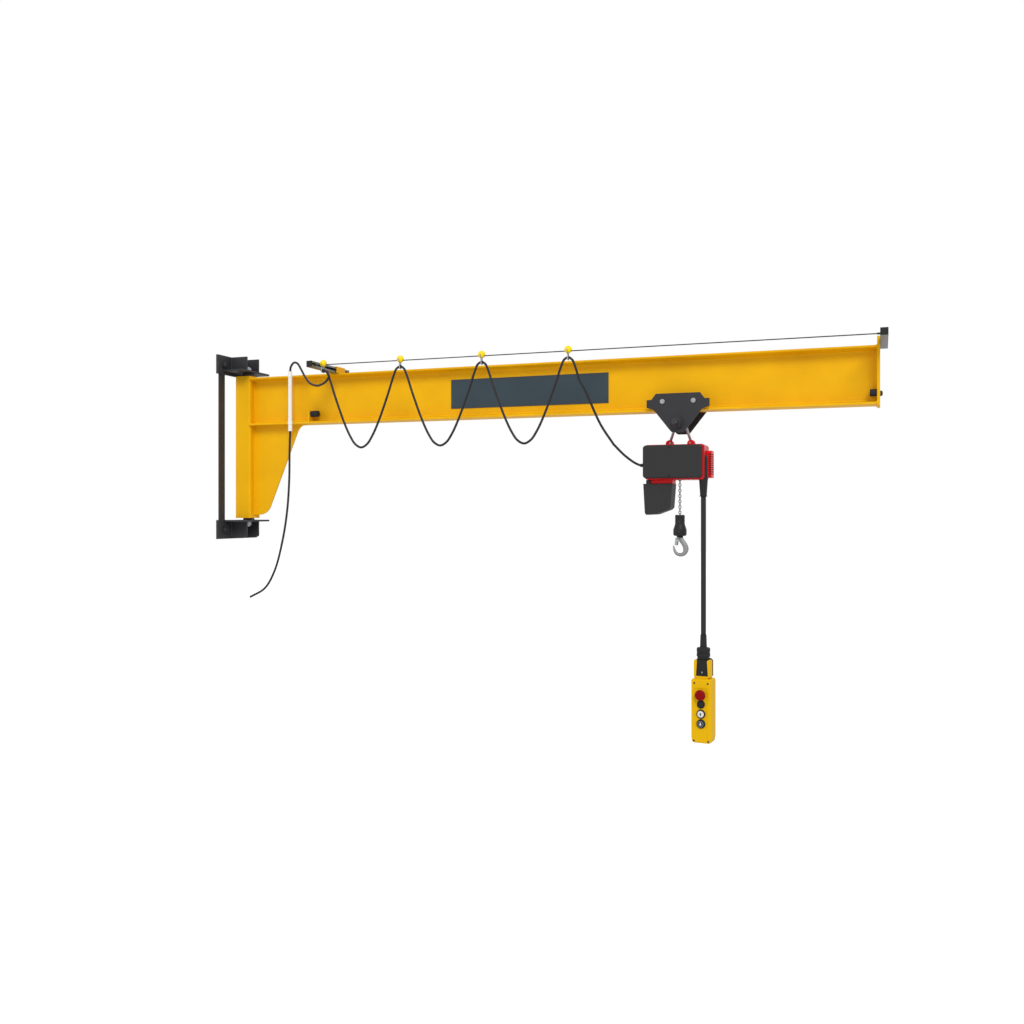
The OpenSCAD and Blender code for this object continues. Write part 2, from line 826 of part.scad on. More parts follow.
module trolley_plate(s) {
    color(dark) translate([trolley_x, 0, 0]) side_extrude(side_t, s * (side_y + side_t / 2)) trolley_side();
}

module trolley_plate_near() { trolley_plate(-1); }
module trolley_plate_far() { trolley_plate(1); }

module trolley_axles() {
    inner_y = tread_y - tread_w - 6;
    head = 5;
    color(zinc) for (x = wheel_x, s = [-1, 1]) translate([trolley_x + x, 0, axle_z])
        mirror([0, s > 0 ? 0 : 1, 0]) {
            rod_y(axle_d, side_y + side_t - inner_y, 0, inner_y, 0);
            rod_y(axle_head_d, head, 0, side_y + side_t, 0);
            rod_y(axle_head_d - 2, 3, 0, inner_y - 3, 0);
        }
}

module suspension_bolt() {
    spacer_y = bail_d / 2 + 2;
    seat = side_y + side_t;
    color(dark) translate([trolley_x, 0, bolt_z]) {
        rod_y(bolt_d, bolt_l, 0, -bolt_l / 2, 0);
        for (s = [0, 1]) mirror([0, s, 0]) {
            rod_y(spacer_d, side_y - face_gap - spacer_y, 0, spacer_y, 0);
            rod_y(bolt_washer_d, bolt_washer_t, 0, seat, 0);
            translate([0, seat + bolt_washer_t, 0]) rotate([-90, 0, 0])
                cylinder(d = bolt_nut_w / cos(30), h = bolt_nut_h, $fn = 6);
        }
    }
}

// Wheel with a tread that follows the flange's slope and a guide flange outside it; s is its side
module wheel(x, s) {
    hub_in = tread_y - tread_w - 4;
    guide_y = beam_w / 2 + 3;
    bore_r = axle_d / 2 + running_gap;
    color(zinc) translate([trolley_x + x, 0, axle_z]) mirror([0, s > 0 ? 0 : 1, 0])
        rotate([-90, 0, 0]) rotate_extrude() polygon([
            [bore_r, hub_in], [axle_head_d / 2, hub_in], [axle_head_d / 2, tread_y - tread_w],
            [tread_r - tread_taper, tread_y - tread_w], [tread_r + tread_taper, tread_y],
            [tread_r + tread_taper, guide_y], [guide_d / 2, guide_y],
            [guide_d / 2, guide_y + guide_t], [bore_r, guide_y + guide_t]
        ]);
}

module wheel_1() { wheel(wheel_x[0], -1); }
module wheel_2() { wheel(wheel_x[1], -1); }
module wheel_3() { wheel(wheel_x[0], 1); }
module wheel_4() { wheel(wheel_x[1], 1); }

// ---- hoist ---------------------------------------------------------------------------------

bail_ring_r = bolt_d / 2 + face_gap + bail_d / 2;
bail_foot_v = [bail_foot / 2, -housing_drop + 10.5];
bail_angle = atan2(bail_foot_v[1], bail_foot_v[0]) + acos(bail_ring_r / norm(bail_foot_v));
bail_leg_l = sqrt(bail_foot_v * bail_foot_v - bail_ring_r * bail_ring_r);

// Leg of the bail, from a little inside the ring's end down to its foot in the lug
module bail_leg(d) {
    rotate([0, -bail_angle, 0]) translate([bail_ring_r, 0, -bail_leg_l]) cylinder(d = d, h = bail_leg_l + lap);
}

module hoist_bail() {
    color(zinc) translate([trolley_x, 0, bolt_z]) {
        rotate([90, 0, 0]) rotate([0, 0, bail_angle])
            rotate_extrude(angle = 180 - 2 * bail_angle) translate([bail_ring_r, 0]) circle(d = bail_d);
        for (s = [0, 1]) mirror([s, 0, 0]) bail_leg(bail_d - seam);
    }
}

module housing_lug() {
    lug_w = 32;
    lug_h = 22;
    top = housing_top - 1;
    side_extrude(30) translate([bail_foot / 2, top]) {
        translate([-lug_w / 2, 0]) square([lug_w, lug_h - lug_w / 2 + 1]);
        translate([0, lug_h - lug_w / 2 + 1]) circle(d = lug_w);
    }
}

module hoist_housing() {
    mid = [housing_x + housing_l / 2, housing_top - housing_h / 2];
    color(red) difference() {
        union() {
            side_extrude(housing_d) translate(mid) round_rect(housing_l, housing_h, 12);
            for (s = [0, 1]) translate([trolley_x, 0, 0]) mirror([s, 0, 0]) housing_lug();
        }
        translate([trolley_x, 0, bolt_z]) for (s = [0, 1]) mirror([s, 0, 0]) bail_leg(bail_d + 0.2);
        translate([chain_x - chain_well / 2, -chain_well / 2, housing_bottom - 1])
            cube([chain_well, chain_well, chain_well_h + 1]);
        lift_rod(0.1);
        translate([outlet_x, outlet_y, housing_bottom - 1]) {
            cylinder(r = outlet_r + 0.1, h = outlet_body_h + 1);
            translate([0, 0, outlet_body_h + 1]) sphere(r = outlet_r + 0.1);
        }
    }
}

module lift_rod(extra) {
    bite = 8 + extra;
    rod_x(lift_pin_d + extra, chain_well + 2 * bite, chain_x - chain_well / 2 - bite, 0, lift_pin_z);
}

// Pin across the chain well that the chain's top link hangs on
module lift_pin() { color(zinc) lift_rod(0); }

module hoist_cover() {
    cover_l = housing_l - 1;
    cover_h = housing_h - 14;
    mid = [housing_x - cover_lead + cover_l / 2, housing_top - 6 - cover_h / 2];
    color(dark) {
        side_extrude(cover_d, -housing_y - cover_d / 2) translate(mid) round_rect(cover_l, cover_h, cover_r);
        rod_x(entry_d, entry_l + lap, housing_x - cover_lead - entry_l, -housing_y - cover_d / 2, entry_z);
    }
}

module fan_cover() {
    fan_l = 22;
    fan_w = 66;
    fan_h = 118;
    fan_drop = 85;
    ribs = 10;
    rib_depth = 5;
    pitch = (fan_h - 24) / ribs;
    mid_z = housing_top - fan_drop;
    color(red) difference() {
        translate([housing_right, housing_y - fan_w / 2, mid_z]) rotate([90, 0, 90])
            linear_extrude(fan_l) round_rect(fan_w, fan_h, 10);
        for (i = [0:ribs - 1])
            translate([housing_right + fan_l - rib_depth, housing_y - fan_w + 8,
                mid_z - fan_h / 2 + 12 + (i + 0.25) * pitch])
                cube([rib_depth + 1, fan_w - 16, pitch / 2]);
    }
}

guide_x = housing_x + 20;
guide_l = 97;
guide_h = 17;
bag_top = housing_bottom - guide_h;
bag_outline = [
    [housing_x - 11, bag_top], [housing_x + 117, bag_top], [housing_x + 109, bag_top - 104],
    [housing_x + 100, bag_top - 113], [housing_x + 43, bag_top - 134], [housing_x + 3, bag_top - 136],
    [housing_x - 4, bag_top - 129]
];

module chain_guide() {
    color(red) translate([guide_x, -bag_d / 2 + 8, bag_top]) cube([guide_l, bag_d - 16, guide_h]);
}

module bag_side(inset) {
    o = bag_outline;
    polygon([
        o[0] + [inset, 1], o[1] + [-inset, 1], o[2] + [-inset, inset / 2], o[3] + [-inset, inset],
        o[4] + [-inset / 2, inset], o[5] + [inset / 2, inset], o[6] + [inset, inset / 2]
    ]);
}

// Open bag with a collar that hangs it from the housing
module chain_bag() {
    collar_x = housing_x + 2;
    collar_sink = 2;
    color(black) {
        difference() {
            side_extrude(bag_d) polygon(bag_outline);
            side_extrude(bag_d - 2 * bag_wall) bag_side(bag_wall);
        }
        translate([collar_x, -bag_d / 2, bag_top - collar_sink])
            cube([guide_x - collar_x, bag_d, guide_h + collar_sink]);
    }
}

// Slack end of the chain, heaped on the bag's floor
module slack_chain() {
    heap_h = 27;
    heap_w = 76;
    left = bag_outline[5] + [bag_wall / 2, bag_wall];
    right = bag_outline[4] + [-bag_wall / 2, bag_wall];
    color(zinc) side_extrude(heap_w) polygon([left, right, right + [0, heap_h], left + [0, heap_h]]);
}

module cable_outlet() {
    ring_h = 4;
    cone_h = housing_bottom - outlet_ring_z - ring_h;
    color(black) translate([outlet_x, outlet_y, 0]) {
        translate([0, 0, housing_bottom]) cylinder(r = outlet_r, h = outlet_body_h);
        translate([0, 0, housing_bottom + outlet_body_h]) sphere(r = outlet_r);
        translate([0, 0, outlet_ring_z + ring_h]) cylinder(r1 = outlet_r - 5, r2 = outlet_r, h = cone_h);
        translate([0, 0, outlet_ring_z]) cylinder(r = outlet_r - 2, h = ring_h);
    }
}

// ---- chain and hook ------------------------------------------------------------------------

module chain_link() {
    side = chain_pitch + link_gap - 2 * (link_bend_r - chain_wire / 2);
    for (s = [0, 1]) mirror([0, 0, s]) translate([0, 0, side / 2])
        rotate([90, 0, 0]) rotate_extrude(angle = 180) translate([link_bend_r, 0]) circle(d = chain_wire, $fn = 24);
    for (s = [-1, 1]) translate([s * link_bend_r, 0, -side / 2]) cylinder(d = chain_wire, h = side, $fn = 24);
}

module chain() {
    color(zinc) for (i = [0:chain_links - 1])
        translate([chain_x, 0, chain_base_z + i * chain_pitch]) rotate([0, 0, 90 * (i % 2)]) chain_link();
}

module hook_block() {
    r1 = block_neck_d / 2;
    r2 = block_skirt_d / 2;
    pocket_r = 11;
    nut_r = 12;
    bore_r = shank_d / 2 + running_gap;
    color(black) translate([chain_x, 0, 0]) {
        rotate_extrude() polygon([
            [0, chain_pin_z - 9], [pocket_r, chain_pin_z - 9], [pocket_r, block_top],
            [r1 - 3, block_top], [r1, block_top - 3], [r1, block_top - 40],
            [r2, block_top - 62], [r2, block_bottom + 8], [r2 - 8, block_bottom],
            [bore_r, block_bottom], [bore_r, block_bottom + 24], [nut_r, block_bottom + 24],
            [nut_r, block_bottom + 38], [0, block_bottom + 38]
        ]);
        rod_y(chain_pin_d, 2 * pocket_r + 2, 0, -pocket_r - 1, chain_pin_z);
    }
}

neck_x = bowl_ring_r * cos(neck_angle);
neck_z = bowl_z + bowl_ring_r * sin(neck_angle);
latch_z = neck_z + neck_x / tan(neck_angle);
latch_pin_d = 4;
latch_tilt = 38.8;

module hook() {
    tip_l = 22;
    tip_d = 10;
    collar_z = block_bottom + 24 + face_gap;
    color([0.5, 0.51, 0.52]) translate([chain_x, 0, 0]) difference() {
        union() {
            translate([0, 0, bowl_z]) rotate([90, 0, 0]) rotate([0, 0, 180])
                rotate_extrude(angle = 180 + neck_angle) translate([bowl_ring_r, 0]) circle(d = hook_d);
            translate([neck_x, 0, neck_z]) rotate([0, neck_angle - 90, 0]) translate([0, 0, -lap])
                cylinder(d = hook_d - seam, h = norm([neck_x, latch_z - neck_z]) + lap);
            translate([0, 0, latch_z]) sphere(d = hook_d + 3 * seam);
            translate([0, 0, latch_z]) cylinder(d = shank_d, h = collar_z + 2 - latch_z);
            translate([0, 0, collar_z]) cylinder(r = 11.5, h = 12);
            translate([-bowl_ring_r, 0, bowl_z - lap]) cylinder(d1 = hook_d - seam, d2 = tip_d, h = tip_l + lap);
            translate([-bowl_ring_r, 0, bowl_z + tip_l]) sphere(d = tip_d + 3 * seam);
        }
        rod_y(latch_pin_d + 2 * running_gap, 2 * hook_d, 0, -hook_d, latch_z);
    }
}

// Sprung latch across the hook's mouth: a blade with two ears on a pin through the hook's neck
module hook_latch() {
    ear_y = hook_d / 2 + 0.9;
    ear_t = 1.6;
    blade_t = 2;
    blade_end = 25;
    blade_start = 12;
    color(zinc) translate([chain_x, 0, latch_z]) rotate([0, -latch_tilt, 0]) {
        translate([-blade_end, -ear_y, -blade_t / 2]) cube([blade_end - blade_start, 2 * ear_y, blade_t]);
        for (s = [-1, 1]) side_extrude(ear_t, s * (ear_y + ear_t / 2 - 0.01)) {
            translate([-blade_end + 4, -3.5]) square([blade_end - 4, 7]);
            circle(r = 3.5);
        }
        rod_y(latch_pin_d, 2 * (ear_y + ear_t + 1), 0, -ear_y - ear_t - 1, 0);
    }
}

// ---- pendant control -----------------------------------------------------------------------

module pendant_cable() {
    color(black) translate([outlet_x, outlet_y, gland_top])
        cylinder(d = control_cable_d, h = outlet_ring_z - gland_top);
}

module pendant_gland() {
    color(black) translate([outlet_x, outlet_y, 0]) {
        translate([0, 0, gland_nut_top]) cylinder(d1 = 30, d2 = 26, h = boot_h);
        translate([0, 0, neck_top + 28]) cylinder(d = 58, h = 18);
        translate([0, 0, neck_top + 9]) cylinder(d = 58, h = 16);
        translate([0, 0, neck_top]) cylinder(d = 52, h = gland_h);
    }
}

// Puts a piece of the pendant on the cable's line, with the pendant's turn
module at_pendant() {
    translate([outlet_x, outlet_y, 0]) rotate([0, 0, -pendant_turn]) children();
}

module pendant_body() {
    stem_d = stop_stem_d + 0.2;
    color(yellow) at_pendant() difference() {
        union() {
            translate([0, 0, pendant_top - pendant_h]) linear_extrude(pendant_h) round_rect(pendant_w, pendant_d, 12);
            translate([0, 0, pendant_top - 1]) linear_extrude(neck_h + neck_gap + 1) round_rect(neck_w, neck_d, 10);
            for (i = [1:3])
                rod_y(i == 1 ? start_bezel_d : bezel_d, bezel_h + 1, 0, pendant_face - bezel_h,
                    pendant_top - button_drop[i]);
        }
        rod_y(stem_d, 30, 0, pendant_face - 1, pendant_top - button_drop[0]);
        for (i = [1:3])
            rod_y(cap_d + 0.2, 20, 0, pendant_face - bezel_h - 1, pendant_top - button_drop[i]);
    }
}

stop_stem_d = 22;

module stop_button() {
    head_t = 13;
    z = pendant_top - button_drop[0];
    y = pendant_face - stop_travel - 2;
    color([0.7, 0.02, 0.04]) at_pendant() {
        rod_y(stop_button_d, head_t, 0, y - head_t, z);
        rod_y(stop_stem_d, 20, 0, y, z);
    }
}

module push_button(i) {
    z = pendant_top - button_drop[i];
    at_pendant() rod_y(cap_d, 14, 0, pendant_face - bezel_h - button_travel - 0.5, z);
}

module start_button() { color(black) push_button(1); }
module raise_button() { color([0.85, 0.85, 0.85]) push_button(2); }
module lower_button() { color([0.3, 0.3, 0.32]) push_button(3); }

// ---- nodes ---------------------------------------------------------------------------------

lower_wall_plate();
upper_wall_plate();
bracket_cheeks();
lower_bearing_plate();
upper_bearing_plate();
tie_bars();
pivot_pins();
thrust_washers();
post();
post_caps();
beam();
gusset();
end_plate();
stop_plates();
buffers();
sign_panel();
rail_clamp();
root_rail();
tip_rail();
rail_caps();
taut_wire();
fixed_clamp();
conduit();
conduit_clips();
supply_tail();
slack_loop();
festoon_span_1();
festoon_span_2();
festoon_span_3();
festoon_lead();
carrier_2();
carrier_3();
carrier_4();
trolley_plate_near();
trolley_plate_far();
trolley_axles();
suspension_bolt();
wheel_1();
wheel_2();
wheel_3();
wheel_4();
hoist_bail();
hoist_housing();
lift_pin();
hoist_cover();
fan_cover();
chain_guide();
chain_bag();
slack_chain();
cable_outlet();
chain();
hook_block();
hook();
hook_latch();
pendant_cable();
pendant_gland();
pendant_body();
stop_button();
start_button();
raise_button();
lower_button();
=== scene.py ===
"""Looks of a wall-mounted slewing jib crane, laid out as an add-on that also runs as a script."""
import json
import math

import bmesh
import bpy
import numpy as np
from mathutils import Matrix, Vector


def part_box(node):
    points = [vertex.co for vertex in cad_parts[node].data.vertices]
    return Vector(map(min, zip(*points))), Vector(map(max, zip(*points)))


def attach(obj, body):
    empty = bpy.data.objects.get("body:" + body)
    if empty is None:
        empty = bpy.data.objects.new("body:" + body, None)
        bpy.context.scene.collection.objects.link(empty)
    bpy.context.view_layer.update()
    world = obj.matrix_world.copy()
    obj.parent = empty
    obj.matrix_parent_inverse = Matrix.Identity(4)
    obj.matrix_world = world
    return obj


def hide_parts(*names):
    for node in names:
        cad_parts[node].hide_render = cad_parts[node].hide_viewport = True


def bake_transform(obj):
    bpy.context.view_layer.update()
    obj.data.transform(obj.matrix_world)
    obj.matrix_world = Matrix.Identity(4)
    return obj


bl_info = {
    "name": "Slewing jib crane",
    "version": (1, 0, 0),
    "blender": (4, 5, 0),
    "location": "3D View > Sidebar > Crane",
    "description": "Dresses a wall-mounted jib crane: steelwork, trolley, chain hoist, cables and control",
    "category": "Object",
}

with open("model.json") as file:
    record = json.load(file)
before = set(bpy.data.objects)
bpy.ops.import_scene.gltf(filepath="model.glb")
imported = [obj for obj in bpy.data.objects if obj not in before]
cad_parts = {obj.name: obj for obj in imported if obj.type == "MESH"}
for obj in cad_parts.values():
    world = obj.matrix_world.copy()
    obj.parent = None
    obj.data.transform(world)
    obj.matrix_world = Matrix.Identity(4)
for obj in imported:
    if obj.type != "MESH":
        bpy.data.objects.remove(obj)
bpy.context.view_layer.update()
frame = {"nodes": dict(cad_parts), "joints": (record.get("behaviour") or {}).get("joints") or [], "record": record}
MM = 0.001


def low(node):
    """Lowest corner of a node, in millimetres."""
    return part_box(node)[0] / MM


def high(node):
    """Highest corner of a node, in millimetres."""
    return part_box(node)[1] / MM


def middle(node):
    return (low(node) + high(node)) / 2


def joint(name):
    return next(j for j in frame["joints"] if j["name"] == name)


# ---- finishes ------------------------------------------------------------------------------


def linear(hex_colour):
    """sRGB hex to linear RGBA."""
    channels = [int(hex_colour[i : i + 2], 16) / 255 for i in (1, 3, 5)]
    return tuple(c / 12.92 if c <= 0.04045 else ((c + 0.055) / 1.055) ** 2.4 for c in channels) + (1.0,)


def add_node(tree, kind, values=(), **props):
    """Adds a node, sets its properties, then sets or links its inputs."""
    node = tree.nodes.new(kind)
    for name, value in props.items():
        setattr(node, name, value)
    for key, value in dict(values).items():
        if isinstance(value, bpy.types.NodeSocket):
            tree.links.new(value, node.inputs[key])
        else:
            node.inputs[key].default_value = value
    return node


def empty_tree(owner):
    """The node tree of a material or a world, with nothing in it."""
    owner.use_nodes = True
    owner.node_tree.nodes.clear()
    return owner.node_tree


def new_material(name):
    material = bpy.data.materials.new(name)
    tree = empty_tree(material)
    shader = add_node(tree, "ShaderNodeBsdfPrincipled")
    add_node(tree, "ShaderNodeOutputMaterial", {"Surface": shader.outputs[0]})
    return material, tree, shader


def grain(tree, size_mm, detail=2.0, stretch=(1, 1, 1)):
    """Noise whose spots are about size_mm across, from object coordinates in metres."""
    place = add_node(tree, "ShaderNodeTexCoord").outputs["Object"]
    if stretch != (1, 1, 1):
        place = add_node(tree, "ShaderNodeMapping", {"Vector": place, "Scale": stretch}).outputs[0]
    settings = {"Vector": place, "Scale": 1 / (size_mm * MM), "Detail": detail}
    return add_node(tree, "ShaderNodeTexNoise", settings).outputs["Fac"]


def spread(tree, value, lowest, highest):
    """Maps the range that a noise mostly keeps to on to another one."""
    ranges = {"From Min": 0.25, "From Max": 0.75, "To Min": lowest, "To Max": highest}
    return add_node(tree, "ShaderNodeMapRange", {"Value": value, **ranges}).outputs[0]


def bump(tree, height, depth_mm, shader, strength=1.0):
    node = add_node(tree, "ShaderNodeBump", {"Height": height, "Distance": depth_mm * MM, "Strength": strength})
    tree.links.new(node.outputs[0], shader.inputs["Normal"])


def shades(tree, value, dark, light):
    """A colour between two hex colours."""
    return add_node(tree, "ShaderNodeMix", {0: value, 6: linear(dark), 7: linear(light)}, data_type="RGBA").outputs[2]


def powder_coat(name, colour, dark, texture_mm, depth_mm, rough, ior=1.32):
    """Polyester powder coat: a satin film with fine orange peel and faint unevenness in its shade."""
    material, tree, shader = new_material(name)
    cloud = grain(tree, 180, 3)
    tree.links.new(shades(tree, spread(tree, cloud, 0, 1), dark, colour), shader.inputs["Base Color"])
    tree.links.new(spread(tree, grain(tree, 60, 3), rough - 0.05, rough + 0.05), shader.inputs["Roughness"])
    shader.inputs["IOR"].default_value = ior
    bump(tree, grain(tree, texture_mm, 3), depth_mm, shader, 0.5)
    return material


def moulding(name, colour, rough, texture_mm=1.2, depth_mm=0.03, ior=1.32):
    """Moulded plastic: an even colour with the mould's fine spark-eroded grain."""
    material, tree, shader = new_material(name)
    shader.inputs["Base Color"].default_value = linear(colour)
    shader.inputs["IOR"].default_value = ior
    tree.links.new(spread(tree, grain(tree, 35, 2), rough - 0.04, rough + 0.04), shader.inputs["Roughness"])
    bump(tree, grain(tree, texture_mm, 3), depth_mm, shader, 0.6)
    return material


def bare_metal(name, dark, light, rough, patch_mm, stretch=(1, 1, 1), depth_mm=0.02, metallic=1.0):
    """Bare or plated metal: its tint and gloss change from patch to patch. A dull film on it scatters light."""
    material, tree, shader = new_material(name)
    shader.inputs["Metallic"].default_value = metallic
    patches = grain(tree, patch_mm, 4, stretch)
    tree.links.new(shades(tree, spread(tree, patches, 0, 1), dark, light), shader.inputs["Base Color"])
    tree.links.new(spread(tree, patches, rough - 0.07, rough + 0.07), shader.inputs["Roughness"])
    bump(tree, grain(tree, patch_mm / 4, 2, stretch), depth_mm, shader, 0.5)
    return material


def spangled_zinc(name, dark, light):
    """Hot-dip galvanising: crystals of zinc, each with its own shade and gloss."""
    material, tree, shader = new_material(name)
    shader.inputs["Metallic"].default_value = 1.0
    place = add_node(tree, "ShaderNodeTexCoord").outputs["Object"]
    crystals = add_node(tree, "ShaderNodeTexVoronoi", {"Vector": place, "Scale": 1 / (7 * MM)})
    share = add_node(tree, "ShaderNodeSeparateColor", {0: crystals.outputs["Color"]}).outputs[0]
    tree.links.new(shades(tree, share, dark, light), shader.inputs["Base Color"])
    tree.links.new(spread(tree, share, 0.38, 0.5), shader.inputs["Roughness"])
    bump(tree, crystals.outputs["Distance"], 0.03, shader, 0.4)
    return material


def cable_sheath(name, colour):
    """Extruded PVC: dull black with a faint lengthwise draw."""
    material, tree, shader = new_material(name)
    shader.inputs["Base Color"].default_value = linear(colour)
    shader.inputs["IOR"].default_value = 1.35
    tree.links.new(spread(tree, grain(tree, 12, 3), 0.46, 0.56), shader.inputs["Roughness"])
    bump(tree, grain(tree, 1.5, 2), 0.02, shader, 0.5)
    return material


def finishes(colours):
    """One finish for each material slot, named for what the real one is."""
    return {
        "bracket_paint": lambda: powder_coat(
            "graphite polyester powder coat", colours.bracket_grey, "#2D2D31", 1.6, 0.05, 0.5
        ),
        "trolley_paint": lambda: powder_coat(
            "graphite epoxy powder coat", colours.trolley_grey, "#2E2E31", 1.6, 0.05, 0.5
        ),
        "jib_yellow": lambda: powder_coat(
            "traffic yellow powder coat", colours.jib_yellow, "#E4A800", 3.0, 0.06, 0.5, 1.26
        ),
        "panel_slate": lambda: powder_coat("slate stove enamel", colours.panel_slate, "#323F48", 2.0, 0.02, 0.35),
        "hoist_red": lambda: powder_coat(
            "signal red lacquer on die-cast aluminium", colours.hoist_red, "#C40A12", 1.4, 0.04, 0.4
        ),
        "zinc_steel": lambda: bare_metal("bright zinc plated steel", "#95979A", "#B2B4B7", 0.36, 9, metallic=0.7),
        "dark_steel": lambda: bare_metal("phosphated steel", "#363637", "#434344", 0.55, 6, metallic=0.6),
        "wire_rope": lambda: bare_metal("galvanised wire strand", "#3E3F41", "#545558", 0.5, 4),
        "wheel_steel": lambda: bare_metal("turned steel", "#7A7A7C", "#97989A", 0.35, 5, (1, 6, 1)),
        "chain_steel": lambda: bare_metal("zinc plated chain steel", "#5B5A5A", "#807F7F", 0.4, 5, metallic=0.8),
        "hook_steel": lambda: bare_metal(
            "drop-forged steel", "#858687", "#9A9B9B", 0.55, 9, depth_mm=0.04, metallic=0.45
        ),
        "galvanised_steel": lambda: spangled_zinc("hot dip galvanised steel", "#6B6D6E", "#8B8E8F"),
        "cable_black": lambda: cable_sheath("black PVC cable sheath", "#232324"),
        "buffer_rubber": lambda: moulding("neoprene rubber", "#25262C", 0.72, 2.0, 0.05),
        "black_plastic": lambda: moulding("black polyamide", "#1F1F20", 0.5),
        "roller_yellow": lambda: moulding("yellow polyamide", colours.roller_yellow, 0.35, 0.8, 0.01),
        "conduit_white": lambda: moulding("rigid PVC tube", "#EDECE6", 0.35, 3.0, 0.01),
        "cover_black": lambda: moulding("black glass-filled polyamide", colours.cover_black, 0.55, 1.0, 0.05),
        "fan_red": lambda: moulding("signal red ABS", colours.hoist_red, 0.38),
        "bag_black": lambda: moulding("black polyethylene", "#2D2D2E", 0.6, 2.0, 0.06),
        "pendant_yellow": lambda: moulding("melon yellow polycarbonate", colours.control_yellow, 0.48, ior=1.22),
        "stop_red": lambda: moulding("red polyamide cap", "#860007", 0.5, ior=1.22),
        "button_black": lambda: moulding("black rubber cap", "#1D1D1E", 0.6),
        "button_white": lambda: moulding("white polyamide cap", "#D9D9D8", 0.4),
        "button_grey": lambda: moulding("grey polyamide cap", "#34373E", 0.4),
    }


made_finishes = {}


def finish(slot):
    if slot not in made_finishes:
        made_finishes[slot] = finishes(bpy.context.scene.crane_colours)[slot]()
    return made_finishes[slot]


# ---- shapes, in millimetres ----------------------------------------------------------------
# A shape is a list of corners and a list of faces.


def turned(at=(0, 0, 0), z=(0, 0, 1), x=(1, 0, 0)):
    """A place whose local Z points along z, and whose local X points as near x as it can."""
    z, x = Vector(z).normalized(), Vector(x)
    if abs(z.dot(x)) > 0.99:
        x = Vector((0, 1, 0))
    y = z.cross(x).normalized()
    x = y.cross(z)
    place = Matrix((x, y, z)).transposed().to_4x4()
    place.translation = Vector(at)
    return place


def placed(shape, place):
    corners, faces = shape
    return [tuple(place @ Vector(p)) for p in corners], faces


def joined(*shapes):
    corners, faces = [], []
    for part_corners, part_faces in shapes:
        start = len(corners)
        corners += part_corners
        faces += [tuple(i + start for i in f) for f in part_faces]
    return corners, faces


def block(size, centre):
    x, y, z = (s / 2 for s in size)
    corners = [(sx * x, sy * y, sz * z) for sx in (-1, 1) for sy in (-1, 1) for sz in (-1, 1)]
    faces = [(0, 1, 3, 2), (4, 6, 7, 5), (0, 4, 5, 1), (2, 3, 7, 6), (0, 2, 6, 4), (1, 5, 7, 3)]
    return placed((corners, faces), Matrix.Translation(Vector(centre)))


def arc(x, y, radius, first, last, steps):
    """Points on an arc about (x, y), from one angle to another."""
    return [(x + radius * math.cos(a), y + radius * math.sin(a)) for a in np.linspace(first, last, steps + 1)]


def both_halves(right):
    """Closes the right half of an outline with its mirror image."""
    return right + [(-x, y) for x, y in right[::-1]]


def rounded(width, height, radius, steps=6):
    """Outline of a rounded rectangle, counter-clockwise."""
    points = []
    for quarter, (sx, sy) in enumerate(((1, 1), (-1, 1), (-1, -1), (1, -1))):
        x, y = sx * (width / 2 - radius), sy * (height / 2 - radius)
        points += arc(x, y, radius, quarter * math.pi / 2, (quarter + 1) * math.pi / 2, steps)
    return points


def rounded_end(depth, radius):
    """The last levels of a pillow, as (z, inset), that round its edge over."""
    curve = [(radius * math.sin(a), radius * (1 - math.cos(a))) for a in np.linspace(math.pi / 12, math.pi / 2, 6)]
    return [(depth - radius + z, inset) for z, inset in [(0, 0)] + curve]


def skinned(rings, closed_ends=True):
    """Joins rings of equally many corners into a closed skin."""
    n = len(rings[0])
    corners = [tuple(p) for ring in rings for p in ring]
    faces = []
    for r in range(len(rings) - 1):
        for i in range(n):
            j = (i + 1) % n
            faces.append((r * n + i, r * n + j, (r + 1) * n + j, (r + 1) * n + i))
    if closed_ends:
        faces.append(tuple(range(n))[::-1])
        faces.append(tuple(range((len(rings) - 1) * n, len(rings) * n)))
    return corners, faces


def plate(outline, depth, place=None):
    """An outline drawn out along local Z."""
    shape = skinned([[(x, y, z) for x, y in outline] for z in (0, depth)])
    return placed(shape, place) if place else shape


def pillow(outline_at, levels, place):
    """A moulding whose outline changes with its height: outline_at(inset) at each (z, inset)."""
    return placed(skinned([[(x, y, z) for x, y in outline_at(inset)] for z, inset in levels]), place)


def turned_solid(profile, place, sides=40):
    """A profile of (radius, z) turned about local Z. It starts and ends on the axis or closes on itself."""
    on_axis = profile[0][0] == 0 and profile[-1][0] == 0
    corners, faces = [], []
    rings = []
    for r, z in profile:
        if r == 0:
            rings.append([len(corners)])
            corners.append((0, 0, z))
        else:
            rings.append(list(range(len(corners), len(corners) + sides)))
            corners += [
                (r * math.cos(math.tau * i / sides), r * math.sin(math.tau * i / sides), z) for i in range(sides)
            ]
    pairs = list(zip(rings, rings[1:]))
    if not on_axis:
        pairs.append((rings[-1], rings[0]))
    for a, b in pairs:
        for i in range(sides):
            j = (i + 1) % sides
            ring = [a[i % len(a)], a[j % len(a)], b[j % len(b)], b[i % len(b)]]
            face = tuple(dict.fromkeys(ring))
            if len(face) > 2:
                faces.append(face)
    return placed((corners, faces), place)


def rod(radius, start, end, edge=0.6, sides=32):
    """A round bar between two points, with softened ends."""
    start, end = Vector(start), Vector(end)
    axis = end - start
    length = axis.length
    profile = [(0, 0), (radius - edge, 0), (radius, edge)]
    profile += [(r, length - z) for r, z in profile[::-1]]
    return turned_solid(profile, turned(start, axis), sides)


